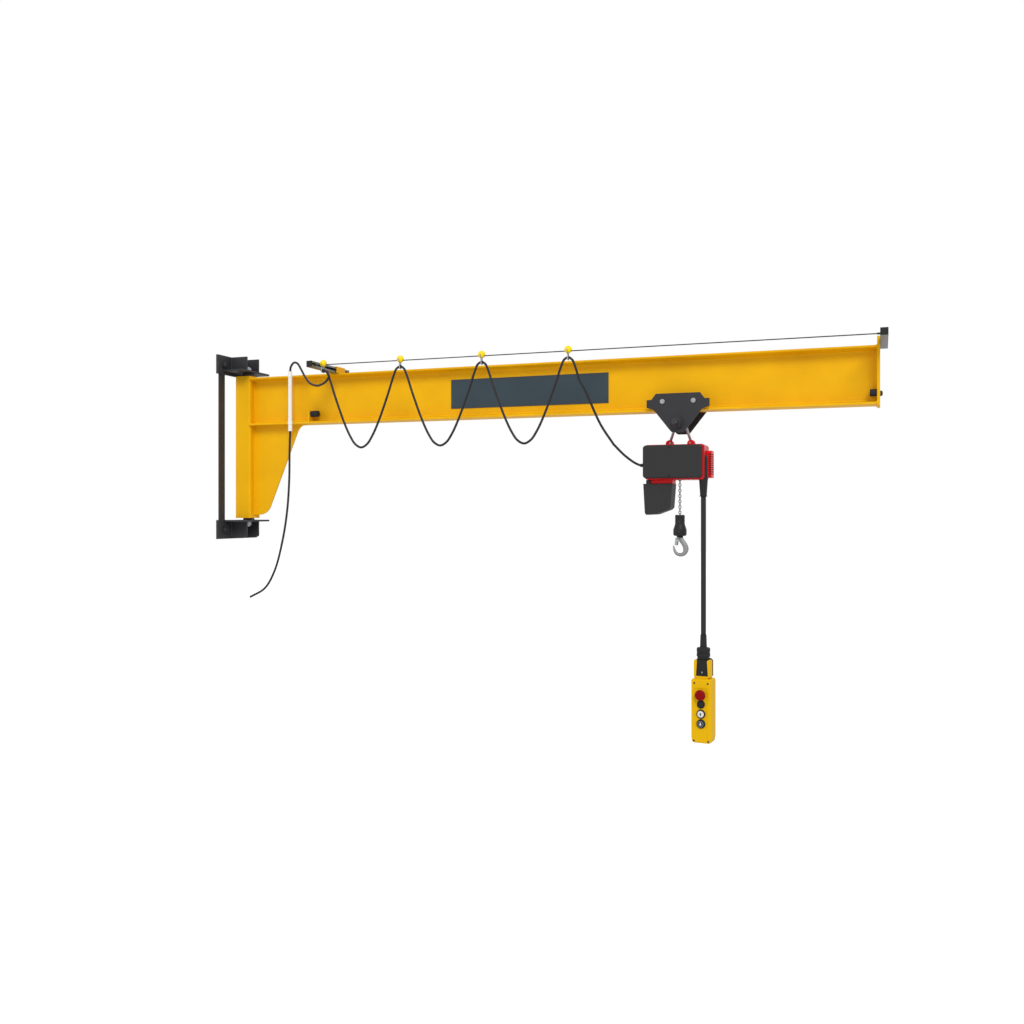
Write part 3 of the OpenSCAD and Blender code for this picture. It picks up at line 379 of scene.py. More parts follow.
def swept(points, radii, sides=16, widths=None, hint=(0, 1, 0)):
    """A round section carried along points, or an oval one where widths gives its half width along hint."""
    points = [Vector(p) for p in points]
    rings = []
    side = Vector(hint)
    for i, p in enumerate(points):
        along = (points[min(i + 1, len(points) - 1)] - points[max(i - 1, 0)]).normalized()
        side = (side - along * side.dot(along)).normalized()
        other = along.cross(side)
        r = radii[i] if hasattr(radii, "__len__") else radii
        w = widths[i] if widths else r
        rings.append([
            p + side * (w * math.cos(math.tau * k / sides)) + other * (r * math.sin(math.tau * k / sides))
            for k in range(sides)
        ])
    return skinned(rings)


def smooth_line(route, step=6.0):
    """A smooth curve through the route's points, with a point about every step."""
    p = [Vector(q) for q in route]
    p = [2 * p[0] - p[1]] + p + [2 * p[-1] - p[-2]]
    out = []
    for i in range(1, len(p) - 2):
        a, b, c, d = p[i - 1 : i + 3]
        t1 = max((b - a).length ** 0.5, 1e-6)
        t2 = t1 + (c - b).length ** 0.5
        t3 = t2 + max((d - c).length ** 0.5, 1e-6)
        n = max(2, round((c - b).length / step))
        for k in range(n):
            t = t1 + (t2 - t1) * k / n
            a1 = a * ((t1 - t) / t1) + b * (t / t1)
            a2 = b * ((t2 - t) / (t2 - t1)) + c * ((t - t1) / (t2 - t1))
            a3 = c * ((t3 - t) / (t3 - t2)) + d * ((t - t2) / (t3 - t2))
            b1 = a1 * ((t2 - t) / t2) + a2 * (t / t2)
            b2 = a2 * ((t3 - t) / (t3 - t1)) + a3 * ((t - t1) / (t3 - t1))
            out.append(b1 * ((t2 - t) / (t2 - t1)) + b2 * ((t - t1) / (t2 - t1)))
    out.append(p[-2])
    return out


# ---- pieces --------------------------------------------------------------------------------

SAME_PLACE = 1e-7  # metres
MOST_CHANGE = 0.05  # share of its volume that a solid may lose by softening
def soften(mesh, edge, angle=30):
    """Rounds the sharp edges by edge millimetres, and keeps the plain mesh if that can't be done cleanly."""
    bm = bmesh.new()
    bm.from_mesh(mesh)
    sharp = [e for e in bm.edges if len(e.link_faces) == 2 and e.calc_face_angle(0) > math.radians(angle)]
    before = bm.calc_volume()
    bmesh.ops.bevel(
        bm, geom=sharp, offset=edge * MM, offset_type="OFFSET", segments=2, profile=0.5, affect="EDGES",
        clamp_overlap=True,
    )
    closed = all(e.is_manifold for e in bm.edges)
    if closed and abs(bm.calc_volume() - before) < MOST_CHANGE * abs(before):
        bm.to_mesh(mesh)
    bm.free()


def to_object(name, mesh, slot, body, stands_for=(), smooth=32):
    """Makes a mesh a piece: its finish, its shading, the body it rides on and the solids it stands for."""
    mesh.materials.clear()
    mesh.materials.append(finish(slot))
    mesh.shade_smooth()
    mesh.set_sharp_from_angle(angle=math.radians(smooth))
    obj = bpy.data.objects.new(name, mesh)
    bpy.context.scene.collection.objects.link(obj)
    if smooth < 180:
        obj.modifiers.new("even shading", "WEIGHTED_NORMAL").keep_sharp = True
    if body:
        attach(obj, body)
    if stands_for:
        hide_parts(*stands_for)
    return obj


def piece(name, shape, slot, body, stands_for=(), edge=0, smooth=32, angle=30):
    """A piece from a shape in millimetres."""
    corners, faces = shape
    mesh = bpy.data.meshes.new(name)
    mesh.from_pydata([tuple(c * MM for c in p) for p in corners], [], faces)
    bm = bmesh.new()
    bm.from_mesh(mesh)
    bmesh.ops.remove_doubles(bm, verts=bm.verts, dist=SAME_PLACE)
    bmesh.ops.recalc_face_normals(bm, faces=bm.faces)
    bm.to_mesh(mesh)
    bm.free()
    if edge:
        soften(mesh, edge, angle)
    return to_object(name, mesh, slot, body, stands_for, smooth)


NODE_BODY = {n: b for b, ns in frame["record"]["behaviour"]["bodies"].items() for n in ns}
NODE_SLOT = {p["node"]: p["material_slot"] for p in frame["record"]["subparts"]}


def dressed(node, edge=1.0, smooth=32, angle=30):
    """A node's own solid, merged, with its edges softened."""
    bm = bmesh.new()
    bm.from_mesh(frame["nodes"][node].data)
    bmesh.ops.remove_doubles(bm, verts=bm.verts, dist=10 * SAME_PLACE)
    bmesh.ops.dissolve_limit(bm, angle_limit=math.radians(0.4), verts=bm.verts, edges=bm.edges)
    mesh = bpy.data.meshes.new(node)
    bm.to_mesh(mesh)
    bm.free()
    if edge:
        soften(mesh, edge, angle)
    return to_object(node + "_finished", mesh, NODE_SLOT[node], NODE_BODY[node], (node,), smooth)


def dress(**edges):
    """Finishes several nodes' solids, each given with its softened edge in millimetres."""
    for node, edge in edges.items():
        dressed(node, edge)


def socket_screw(place, recess, floor, crown, rim, radius, shoulder, depth, sides=24):
    """A low screw head with a round recess; floor, crown and shoulder are heights over the surface it sits on."""
    profile = [
        (0, floor), (recess, floor), (recess, crown), (rim, crown - 0.2), (radius, shoulder), (radius, -depth),
        (0, -depth),
    ]
    return turned_solid(profile, place, sides)

# ---- geometry node trees -------------------------------------------------------------------


def new_tree(name, inputs):
    """A geometry tree with named inputs, given as (name, socket type, default)."""
    tree = bpy.data.node_groups.new(name, "GeometryNodeTree")
    tree.interface.new_socket("Geometry", in_out="OUTPUT", socket_type="NodeSocketGeometry")
    tree.interface.new_socket("Geometry", in_out="INPUT", socket_type="NodeSocketGeometry")
    for label, kind, default in inputs:
        socket = tree.interface.new_socket(label, in_out="INPUT", socket_type=kind)
        if default is not None:
            socket.default_value = default
    return tree, add_node(tree, "NodeGroupInput")


def end_tree(tree, geometry, material):
    """Realizes the instances, gives them their material and ends the tree."""
    real = add_node(tree, "GeometryNodeRealizeInstances", {0: geometry})
    shaded = add_node(tree, "GeometryNodeSetMaterial", {"Geometry": real.outputs[0], "Material": material})
    add_node(tree, "NodeGroupOutput", {0: shaded.outputs[0]})
    return tree


def arith(tree, operation, a, b=0.0):
    return add_node(tree, "ShaderNodeMath", {0: a, 1: b}, operation=operation).outputs[0]


def times(tree, a, b):
    return arith(tree, "MULTIPLY", a, b)


def half(tree, a):
    return arith(tree, "MULTIPLY", a, 0.5)


def vector(tree, x=0.0, y=0.0, z=0.0):
    return add_node(tree, "ShaderNodeCombineXYZ", {0: x, 1: y, 2: z}).outputs[0]


def cylinder(tree, sides, radius, depth):
    return add_node(tree, "GeometryNodeMeshCylinder", {"Vertices": sides, "Radius": radius, "Depth": depth}).outputs[0]


def circle(tree, points, radius):
    return add_node(tree, "GeometryNodeCurvePrimitiveCircle", {"Resolution": points, "Radius": radius}).outputs[0]


def moved(tree, geometry, **change):
    return add_node(tree, "GeometryNodeTransform", {"Geometry": geometry, **change}).outputs[0]


def row(tree, count, offset, thing, angle):
    """Copies of a thing on a row of points, each turned about Z by its own angle."""
    points = add_node(tree, "GeometryNodeMeshLine", {"Count": count, "Offset": offset})
    turn = add_node(tree, "FunctionNodeEulerToRotation", {0: vector(tree, z=angle)})
    return add_node(tree, "GeometryNodeInstanceOnPoints", {
        "Points": points.outputs[0], "Instance": thing, "Rotation": turn.outputs[0],
    }).outputs[0]


def index(tree):
    return add_node(tree, "GeometryNodeInputIndex").outputs[0]

FLOAT, MATERIAL, VECTOR, INTEGER = "NodeSocketFloat", "NodeSocketMaterial", "NodeSocketVector", "NodeSocketInt"


def bolt_tree():
    """A washer, a chamfered hexagon and a bolt end on every point, facing one way."""
    tree, given = new_tree("hex bolts", [
        ("Across Flats", FLOAT, 0.018), ("Head Height", FLOAT, 0.01), ("Washer Diameter", FLOAT, 0.024),
        ("Washer Thickness", FLOAT, 0.002), ("Bolt Diameter", FLOAT, 0.01), ("Bolt End", FLOAT, 0.004),
        ("Direction", VECTOR, (1, 0, 0)), ("Material", MATERIAL, None),
    ])
    g = given.outputs
    head, washer_t = g["Head Height"], g["Washer Thickness"]
    corner = arith(tree, "DIVIDE", g["Across Flats"], math.sqrt(3))
    flat_h, chamfer_h = times(tree, head, 0.86), times(tree, head, 0.14)
    chamfer = add_node(tree, "GeometryNodeMeshCone", {
        "Vertices": 6, "Radius Top": times(tree, corner, 0.88), "Radius Bottom": corner, "Depth": chamfer_h,
    })
    shank_h = arith(tree, "ADD", head, g["Bolt End"])

    def lifted(geometry, *heights):
        z = heights[0]
        for h in heights[1:]:
            z = arith(tree, "ADD", z, h)
        return moved(tree, geometry, Translation=vector(tree, z=z))

    parts = [
        lifted(cylinder(tree, 32, half(tree, g["Washer Diameter"]), washer_t), half(tree, washer_t)),
        lifted(cylinder(tree, 6, corner, flat_h), washer_t, half(tree, flat_h)),
        lifted(chamfer.outputs[0], washer_t, flat_h),
        lifted(cylinder(tree, 24, half(tree, g["Bolt Diameter"]), shank_h), washer_t, half(tree, shank_h)),
    ]
    whole = add_node(tree, "GeometryNodeJoinGeometry")
    for part in reversed(parts):
        tree.links.new(part, whole.inputs[0])
    facing = add_node(tree, "FunctionNodeAlignRotationToVector", {"Vector": g["Direction"]}, axis="Z")
    copies = add_node(tree, "GeometryNodeInstanceOnPoints", {
        "Points": g["Geometry"], "Instance": whole.outputs[0], "Rotation": facing.outputs[0],
    })
    return end_tree(tree, copies.outputs[0], g["Material"])


def weld_tree():
    """A weld bead along every line, rippled at the welder's pace."""
    tree, given = new_tree("weld bead", [
        ("Width", FLOAT, 0.006), ("Ripple", FLOAT, 0.004), ("Seed", INTEGER, 3), ("Material", MATERIAL, None),
    ])
    g = given.outputs
    line = add_node(tree, "GeometryNodeMeshToCurve", {0: g["Geometry"]}).outputs[0]
    even = add_node(tree, "GeometryNodeResampleCurve", {"Curve": line, "Length": g["Ripple"]}, mode="LENGTH")
    wobble = add_node(tree, "FunctionNodeRandomValue", {2: 0.8, 3: 1.1, "Seed": g["Seed"]}, data_type="FLOAT")
    bead = add_node(tree, "GeometryNodeCurveToMesh", {
        "Curve": even.outputs[0], "Profile Curve": circle(tree, 8, 0.5), "Fill Caps": True,
        "Scale": times(tree, wobble.outputs[1], g["Width"]),
    })
    return end_tree(tree, bead.outputs[0], g["Material"])


def strand_tree():
    """Wires laid round each other in a right-hand lay, along +X from the origin."""
    tree, given = new_tree("wire strand", [
        ("Length", FLOAT, 1.0), ("Diameter", FLOAT, 0.005), ("Lay", FLOAT, 0.04), ("Wires", INTEGER, 6),
        ("Material", MATERIAL, None),
    ])
    g = given.outputs
    wire_r = arith(tree, "DIVIDE", g["Diameter"], 6.0)
    lay_r = times(tree, wire_r, 2.0)
    spiral = add_node(tree, "GeometryNodeCurveSpiral", {
        "Resolution": 10, "Rotations": arith(tree, "DIVIDE", g["Length"], g["Lay"]), "Start Radius": lay_r,
        "End Radius": lay_r, "Height": g["Length"],
    })
    outer = add_node(tree, "GeometryNodeCurveToMesh", {
        "Curve": spiral.outputs[0], "Profile Curve": circle(tree, 6, wire_r), "Fill Caps": True,
    })
    angle = times(tree, arith(tree, "DIVIDE", index(tree), g["Wires"]), math.tau)
    copies = row(tree, g["Wires"], (0, 0, 0), outer.outputs[0], angle)
    core = cylinder(tree, 8, times(tree, wire_r, 1.3), g["Length"])
    core = moved(tree, core, Translation=vector(tree, z=half(tree, g["Length"])))
    both = add_node(tree, "GeometryNodeJoinGeometry")
    tree.links.new(copies, both.inputs[0])
    tree.links.new(core, both.inputs[0])
    return end_tree(tree, moved(tree, both.outputs[0], Rotation=(0, math.pi / 2, 0)), g["Material"])


def chain_tree():
    """Round-link chain upwards from the origin, every other link turned a quarter."""
    tree, given = new_tree("round link chain", [
        ("Links", INTEGER, 24), ("Pitch", FLOAT, 0.012), ("Wire", FLOAT, 0.004), ("Width", FLOAT, 0.0136),
        ("Material", MATERIAL, None),
    ])
    g = given.outputs
    bend = half(tree, arith(tree, "SUBTRACT", g["Width"], g["Wire"]))
    side = arith(tree, "SUBTRACT", arith(tree, "ADD", g["Pitch"], g["Wire"]), g["Width"])
    place = add_node(tree, "GeometryNodeInputPosition").outputs[0]
    up = add_node(tree, "ShaderNodeSeparateXYZ", {0: place}).outputs[1]
    end = add_node(tree, "ShaderNodeMath", {0: up}, operation="SIGN").outputs[0]
    stretch = vector(tree, y=half(tree, times(tree, end, side)))
    oval = add_node(tree, "GeometryNodeSetPosition", {"Geometry": circle(tree, 16, bend), "Offset": stretch})
    section = circle(tree, 8, half(tree, g["Wire"]))
    link = add_node(tree, "GeometryNodeCurveToMesh", {"Curve": oval.outputs[0], "Profile Curve": section})
    upright = moved(tree, link.outputs[0], Rotation=(math.pi / 2, 0, 0))
    angle = times(tree, arith(tree, "MODULO", index(tree), 2.0), math.pi / 2)
    copies = row(tree, g["Links"], vector(tree, z=g["Pitch"]), upright, angle)
    return end_tree(tree, copies, g["Material"])


trees = {}


def grown(name, make_tree, settings, slot, points=(), lines=(), place=None):
    """Runs a tree on points or lines, in millimetres, and returns the plain mesh."""
    if make_tree.__name__ not in trees:
        trees[make_tree.__name__] = make_tree()
    tree = trees[make_tree.__name__]
    corners, edges = [tuple(Vector(p) * MM) for p in points], []
    for line in lines:
        start = len(corners)
        corners += [tuple(Vector(p) * MM) for p in line]
        edges += [(i, i + 1) for i in range(start, len(corners) - 1)]
    base = bpy.data.meshes.new(name + "_base")
    base.from_pydata(corners, edges, [])
    obj = bpy.data.objects.new(name + "_base", base)
    bpy.context.scene.collection.objects.link(obj)
    modifier = obj.modifiers.new(tree.name, "NODES")
    modifier.node_group = tree
    identifiers = {s.name: s.identifier for s in tree.interface.items_tree if s.in_out == "INPUT"}
    for label, value in {**settings, "Material": finish(slot)}.items():
        modifier[identifiers[label]] = value
    bpy.context.view_layer.update()
    ready = obj.evaluated_get(bpy.context.evaluated_depsgraph_get())
    mesh = bpy.data.meshes.new_from_object(ready)
    mesh.name = name
    bpy.data.objects.remove(obj)
    if place:
        mesh.transform(place)
    return mesh


def bolts(name, points, direction, slot, body, flats, height, end, diameter, washer):
    mesh = grown(name, bolt_tree, {
        "Across Flats": flats * MM, "Head Height": height * MM, "Washer Diameter": washer * MM,
        "Washer Thickness": 2 * MM, "Bolt Diameter": diameter * MM, "Bolt End": end * MM, "Direction": direction,
    }, slot, points=points)
    return to_object(name, mesh, slot, body)


def welds(name, lines, body, slot, width=None):
    sizes = bpy.context.scene.crane_sizes
    settings = {"Width": width * MM if width else sizes.weld_width, "Ripple": sizes.weld_ripple, "Seed": 3}
    return to_object(name, grown(name, weld_tree, settings, slot, lines=lines), slot, body, smooth=60)


# ---- what a user would change --------------------------------------------------------------


def length(name, description, default):
    return bpy.props.FloatProperty(name=name, description=description, default=default, unit="LENGTH")


def colour(name, description, default):
    return bpy.props.StringProperty(name=name, description=description, default=default)


class CraneSizes(bpy.types.PropertyGroup):
    """Sizes of the fittings that dress the crane."""

    lens: bpy.props.FloatProperty(name="Lens", description="Focal length of the camera, in millimetres", default=35.7)
    weld_width: length("Weld width", "Width of a weld bead", 0.007)
    weld_ripple: length("Weld ripple", "Distance between the ripples of a weld", 0.005)
    cable_diameter: length("Cable diameter", "Diameter of the supply and festoon cable", 0.0104)
    control_cable_diameter: length("Control cable diameter", "Diameter of the pendant's cable", 0.022)
    strand_lay: length("Strand lay", "Length in which a wire goes once round the strand", 0.045)
    chain_wire: length("Chain wire", "Diameter of the chain's wire", 0.004)
    chain_pitch: length("Chain pitch", "Inside length of a chain link", 0.012)
    chain_width: length("Chain width", "Outside width of a chain link", 0.0136)


class CraneColours(bpy.types.PropertyGroup):
    """Colours of the crane's paints and mouldings, as sRGB hex values."""

    jib_yellow: colour("Jib", "Colour of the jib and post", "#F0B600")
    bracket_grey: colour("Brackets", "Colour of the wall brackets", "#37373B")
    trolley_grey: colour("Trolley", "Colour of the trolley plates", "#353538")
    panel_slate: colour("Sign panel", "Colour of the bare panel", "#38474F")
    hoist_red: colour("Hoist", "Colour of the hoist housing and fan cover", "#D80E16")
    cover_black: colour("Hoist cover", "Colour of the hoist cover", "#2C2C2D")
    roller_yellow: colour("Cable rollers", "Colour of the rollers", "#FFDF00")
    control_yellow: colour("Control", "Colour of the pendant", "#E2B000")


# ---- operators -----------------------------------------------------------------------------


class CRANE_OT_camera(bpy.types.Operator):
    """Places a level camera abreast of the jib's tip on the cable side, turned a little towards the wall"""

    bl_idname = "crane.camera"
    bl_label = "Camera"

    def execute(self, context):
        data = bpy.data.cameras.new("camera")
        data.lens, data.sensor_width, data.clip_end = context.scene.crane_sizes.lens, 36, 200
        camera = bpy.data.objects.new("camera", data)
        camera.location = (3.116, -4.429, 0.0875)
        camera.rotation_euler = (math.pi / 2, 0, math.radians(19.93))
        context.scene.collection.objects.link(camera)
        context.scene.camera = camera
        return {"FINISHED"}


BAIL_X, LUG_X = 2295, 43
CLIP_Z = 752
WIRE_Y = -241
CLAMP_X = 654
CARRIER_PITCH = 400
LEAD_END = (2031, -145, 380)  # where the festoon's last cable passes from the trolley to the hoist
GLAND_Y, GLAND_Z = -71, 291
FRONT = (0, -1, 0)  # the way the cable side faces


def carrier_x(i):
    return CLAMP_X + i * CARRIER_PITCH


def cable(name, route, nodes, body=None, between=None, diameter=None):
    """A cable along a smooth curve. It rides on one body; given two bodies with a start and an end point instead, it
    rides on none.
    """
    diameter = diameter or bpy.context.scene.crane_sizes.cable_diameter
    line = smooth_line(route)
    obj = piece(name, swept(line, diameter / MM / 2, 16, hint=(0.3, 1, 0.1)), "cable_black", body, nodes, smooth=180)
    if between:
        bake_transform(obj)


class CRANE_OT_cables(bpy.types.Operator):
    """Hangs the supply cable, its slack loop, the festoon and the control cable"""

    bl_idname = "crane.cables"
    bl_label = "Cables"

    def execute(self, context):
        conduit_low, conduit_high, centre = low("conduit"), high("conduit"), middle("conduit")
        tail = [
            (centre.x, centre.y, conduit_low.z), (359, -65, 393), (356, -64, 246), (344, -63, 97), (317, -62, -52),
            (272, -62, -202), (215, -62, -293), (128, -62, -341),
        ]
        cable("supply_cable_tail", tail, ["supply_tail"], body="jib")
        slack = [
            (centre.x, centre.y, conduit_high.z), (366, -66, 806), (386, -71, 826), (412, -80, 821), (446, -96, 784),
            (484, -125, 745), (530, -160, 710), (590, -196, 690), (640, -226, 692), (674, -246, 704), (690, -252, 724),
            (680, -252, 744), (660, -252, 749),
        ]
        cable("supply_cable_loop", slack, ["slack_loop"], body="jib")
        half_span = [
            (6, 0, 0), (18, 3, -10), (30, 5, -38), (62, 5, -130), (110, 5, -252), (141, 5, -314), (168, 3, -350),
        ]
        dip = 365
        bodies = ("jib", "cable_carrier_2", "cable_carrier_3", "cable_carrier_4")
        for i in range(3):
            x0, x1 = carrier_x(i), carrier_x(i + 1)
            span = [(x0 + dx, WIRE_Y + dy, CLIP_Z + dz) for dx, dy, dz in half_span]
            span.append(((x0 + x1) / 2, WIRE_Y, CLIP_Z - dip))
            span += [(x1 - dx, WIRE_Y - dy, CLIP_Z + dz) for dx, dy, dz in half_span[::-1]]
            between = (bodies[i], bodies[i + 1], (x0, 0, 0), (x1, 0, 0))
            cable(f"festoon_cable_{i + 1}", span, [f"festoon_span_{i + 1}"], between=between)
        lead = [
            (carrier_x(3) + 6, WIRE_Y, CLIP_Z), (1874, -241, 740), (1887, -240, 708), (1901, -232, 657),
            (1924, -220, 610), (1982, -180, 465), LEAD_END,
        ]
        # Points for a blend of the lead by its depth, which would give it its share of the trolley's travel and keep
        # the section of its upright parts: the start lies far above the clip, where the lead would have the last
        # carrier's own share, 0.636. This script makes no blend; the lead rides on no body.
        between = ("jib", "trolley", (0, 0, 1292), (0, 0, LEAD_END[2]))
        cable("festoon_cable_lead", lead, ["festoon_lead"], between=between)
        entry = low("hoist_cover").x
        last = [LEAD_END, (2070, -112, 335), (2108, -84, 303), (entry, GLAND_Y, GLAND_Z)]
        cable("hoist_cable_end", last, [], between=("trolley", "hoist", (LEAD_END[0], 0, 0), (entry, 0, 0)))
        centre = middle("pendant_cable")
        heights = np.linspace(high("pendant_cable").z, low("pendant_cable").z, 16)
        cable(
            "control_cable", [(centre.x, centre.y, z) for z in heights], ["pendant_cable"],
            body="hoist", diameter=context.scene.crane_sizes.control_cable_diameter,
        )
        return {"FINISHED"}


class CRANE_OT_brackets(bpy.types.Operator):
    """Finishes the two wall brackets, their tie bars and the pivots, with their welds"""

    bl_idname = "crane.brackets"
    bl_label = "Wall brackets"

    def execute(self, context):
        body = "wall_bracket"
        dress(
            lower_wall_plate=1.5, upper_wall_plate=1.5, lower_bearing_plate=1.5, upper_bearing_plate=1.5,
            bracket_cheeks=1.2, tie_bars=1.2, pivot_pins=1.0, thrust_washers=0.8,
        )
        cheek_low, cheek_high = low("bracket_cheeks"), high("bracket_cheeks")
        face = high("lower_wall_plate").x
        reach = cheek_high.x - 4
        seat, head = low("lower_bearing_plate").z, high("upper_bearing_plate").z
        cheek_inside, cheek_outside, bolt_y = 46, 56, 120
        lines = []
        for y in (cheek_inside, cheek_outside):
            for s in (-1, 1):
                lines.append([(face, s * y, cheek_low.z + 3), (face, s * y, seat)])
                lines.append([(face, s * y, head), (face, s * y, cheek_high.z - 3)])
                lines.append([(face + 2, s * y, seat), (reach, s * y, seat)])
                lines.append([(face + 2, s * y, head), (reach, s * y, head)])
        bar_x, half_bar = 8, 22.5
        bar_y = high("tie_bars").y - half_bar
        for s in (-1, 1):
            for z in (low("tie_bars").z, high("tie_bars").z):
                lines.append([(bar_x, s * bar_y - 20, z), (bar_x, s * bar_y + 20, z)])
        welds("bracket_welds", lines, body, "bracket_paint")
        heights = [middle(f"{level}_wall_plate").z for level in ("lower", "upper")]
        anchors = [(face, s * bolt_y, z) for s in (-1, 1) for z in heights]
        bolts(
            "wall_anchors", anchors, (1, 0, 0), "dark_steel", body, flats=24, height=10, diameter=16, end=2, washer=38
        )
        ends = [rod(7, (face - 6, y, z), (face + 16, y, z), 1.5) for _, y, z in anchors]
        piece("wall_anchor_ends", joined(*ends), "dark_steel", body)
        return {"FINISHED"}


class CRANE_OT_jib(bpy.types.Operator):
    """Finishes the post, beam, gusset, end plate, stops and sign panel, with their welds and bolts"""

    bl_idname = "crane.jib"
    bl_label = "Post and jib beam"

    def execute(self, context):
        dress(post=0, post_caps=1.0)
        dressed("beam", 0, smooth=24)
        dress(gusset=1.2, end_plate=1.2, stop_plates=1.0, buffers=2.5, sign_panel=0.6)
        beam_low, beam_high = low("beam"), high("beam")
        face, tip = beam_low.x, beam_high.x
        half_w, half_web = beam_high.y, 4.35
        # From the flange's outer corner to the foot of the web, as (y, depth into the section).
        quarter = ((half_w, 0), (half_w, 9), (half_web + 8, 18.5), (half_web, 24))
        right = [(y, beam_low.z + z) for y, z in quarter] + [(y, beam_high.z - z) for y, z in quarter[::-1]]
        section = both_halves(right)
        section.insert(0, section[-1])
        post_half = high("post").y
        at_post = [(max(-post_half, min(post_half, y)), z) for y, z in section]
        lines = [[(face, y, z) for y, z in at_post], [(tip, y, z) for y, z in section]]
        gusset = high("gusset")
        foot = low("gusset").z
        for y in (-gusset.y, gusset.y):
            lines.append([(face, y, foot + 2), (face, y, beam_low.z - 3)])
            lines.append([(face + 3, y, beam_low.z), (gusset.x - 4, y, beam_low.z)])
        stop = high("stop_plates")
        for x in (low("stop_plates").x, stop.x):
            for s in (-1, 1):
                y = s * (half_web + 1)
                lines.append([(x, y, beam_low.z + 28), (x, y, stop.z - 1)])
        welds("jib_welds", lines, "jib", "jib_yellow")
        inner = ("inner_stop_bolts", low("stop_plates").x, -1, "jib_yellow")
        outer = ("outer_stop_bolts", high("end_plate").x, 1, "dark_steel")
        for name, x, way, slot in (inner, outer):
            points = [(x, s * 30, middle("buffers").z) for s in (-1, 1)]
            bolts(name, points, (way, 0, 0), slot, "jib", flats=13, height=6, diameter=8, end=2, washer=17)
        panel_low, panel_high = low("sign_panel"), high("sign_panel")
        dome = [(0, 0), (4.2, 0), (4, 0.8), (2.8, 1.7), (0, 2.1)]
        rivets = [
            turned_solid(dome, turned((x, panel_low.y, z), FRONT), 20)
            for x in (panel_low.x + 12, middle("sign_panel").x, panel_high.x - 12)
            for z in (panel_low.z + 10, panel_high.z - 10)
        ]
        piece("sign_panel_rivets", joined(*rivets), "panel_slate", "jib")
        return {"FINISHED"}


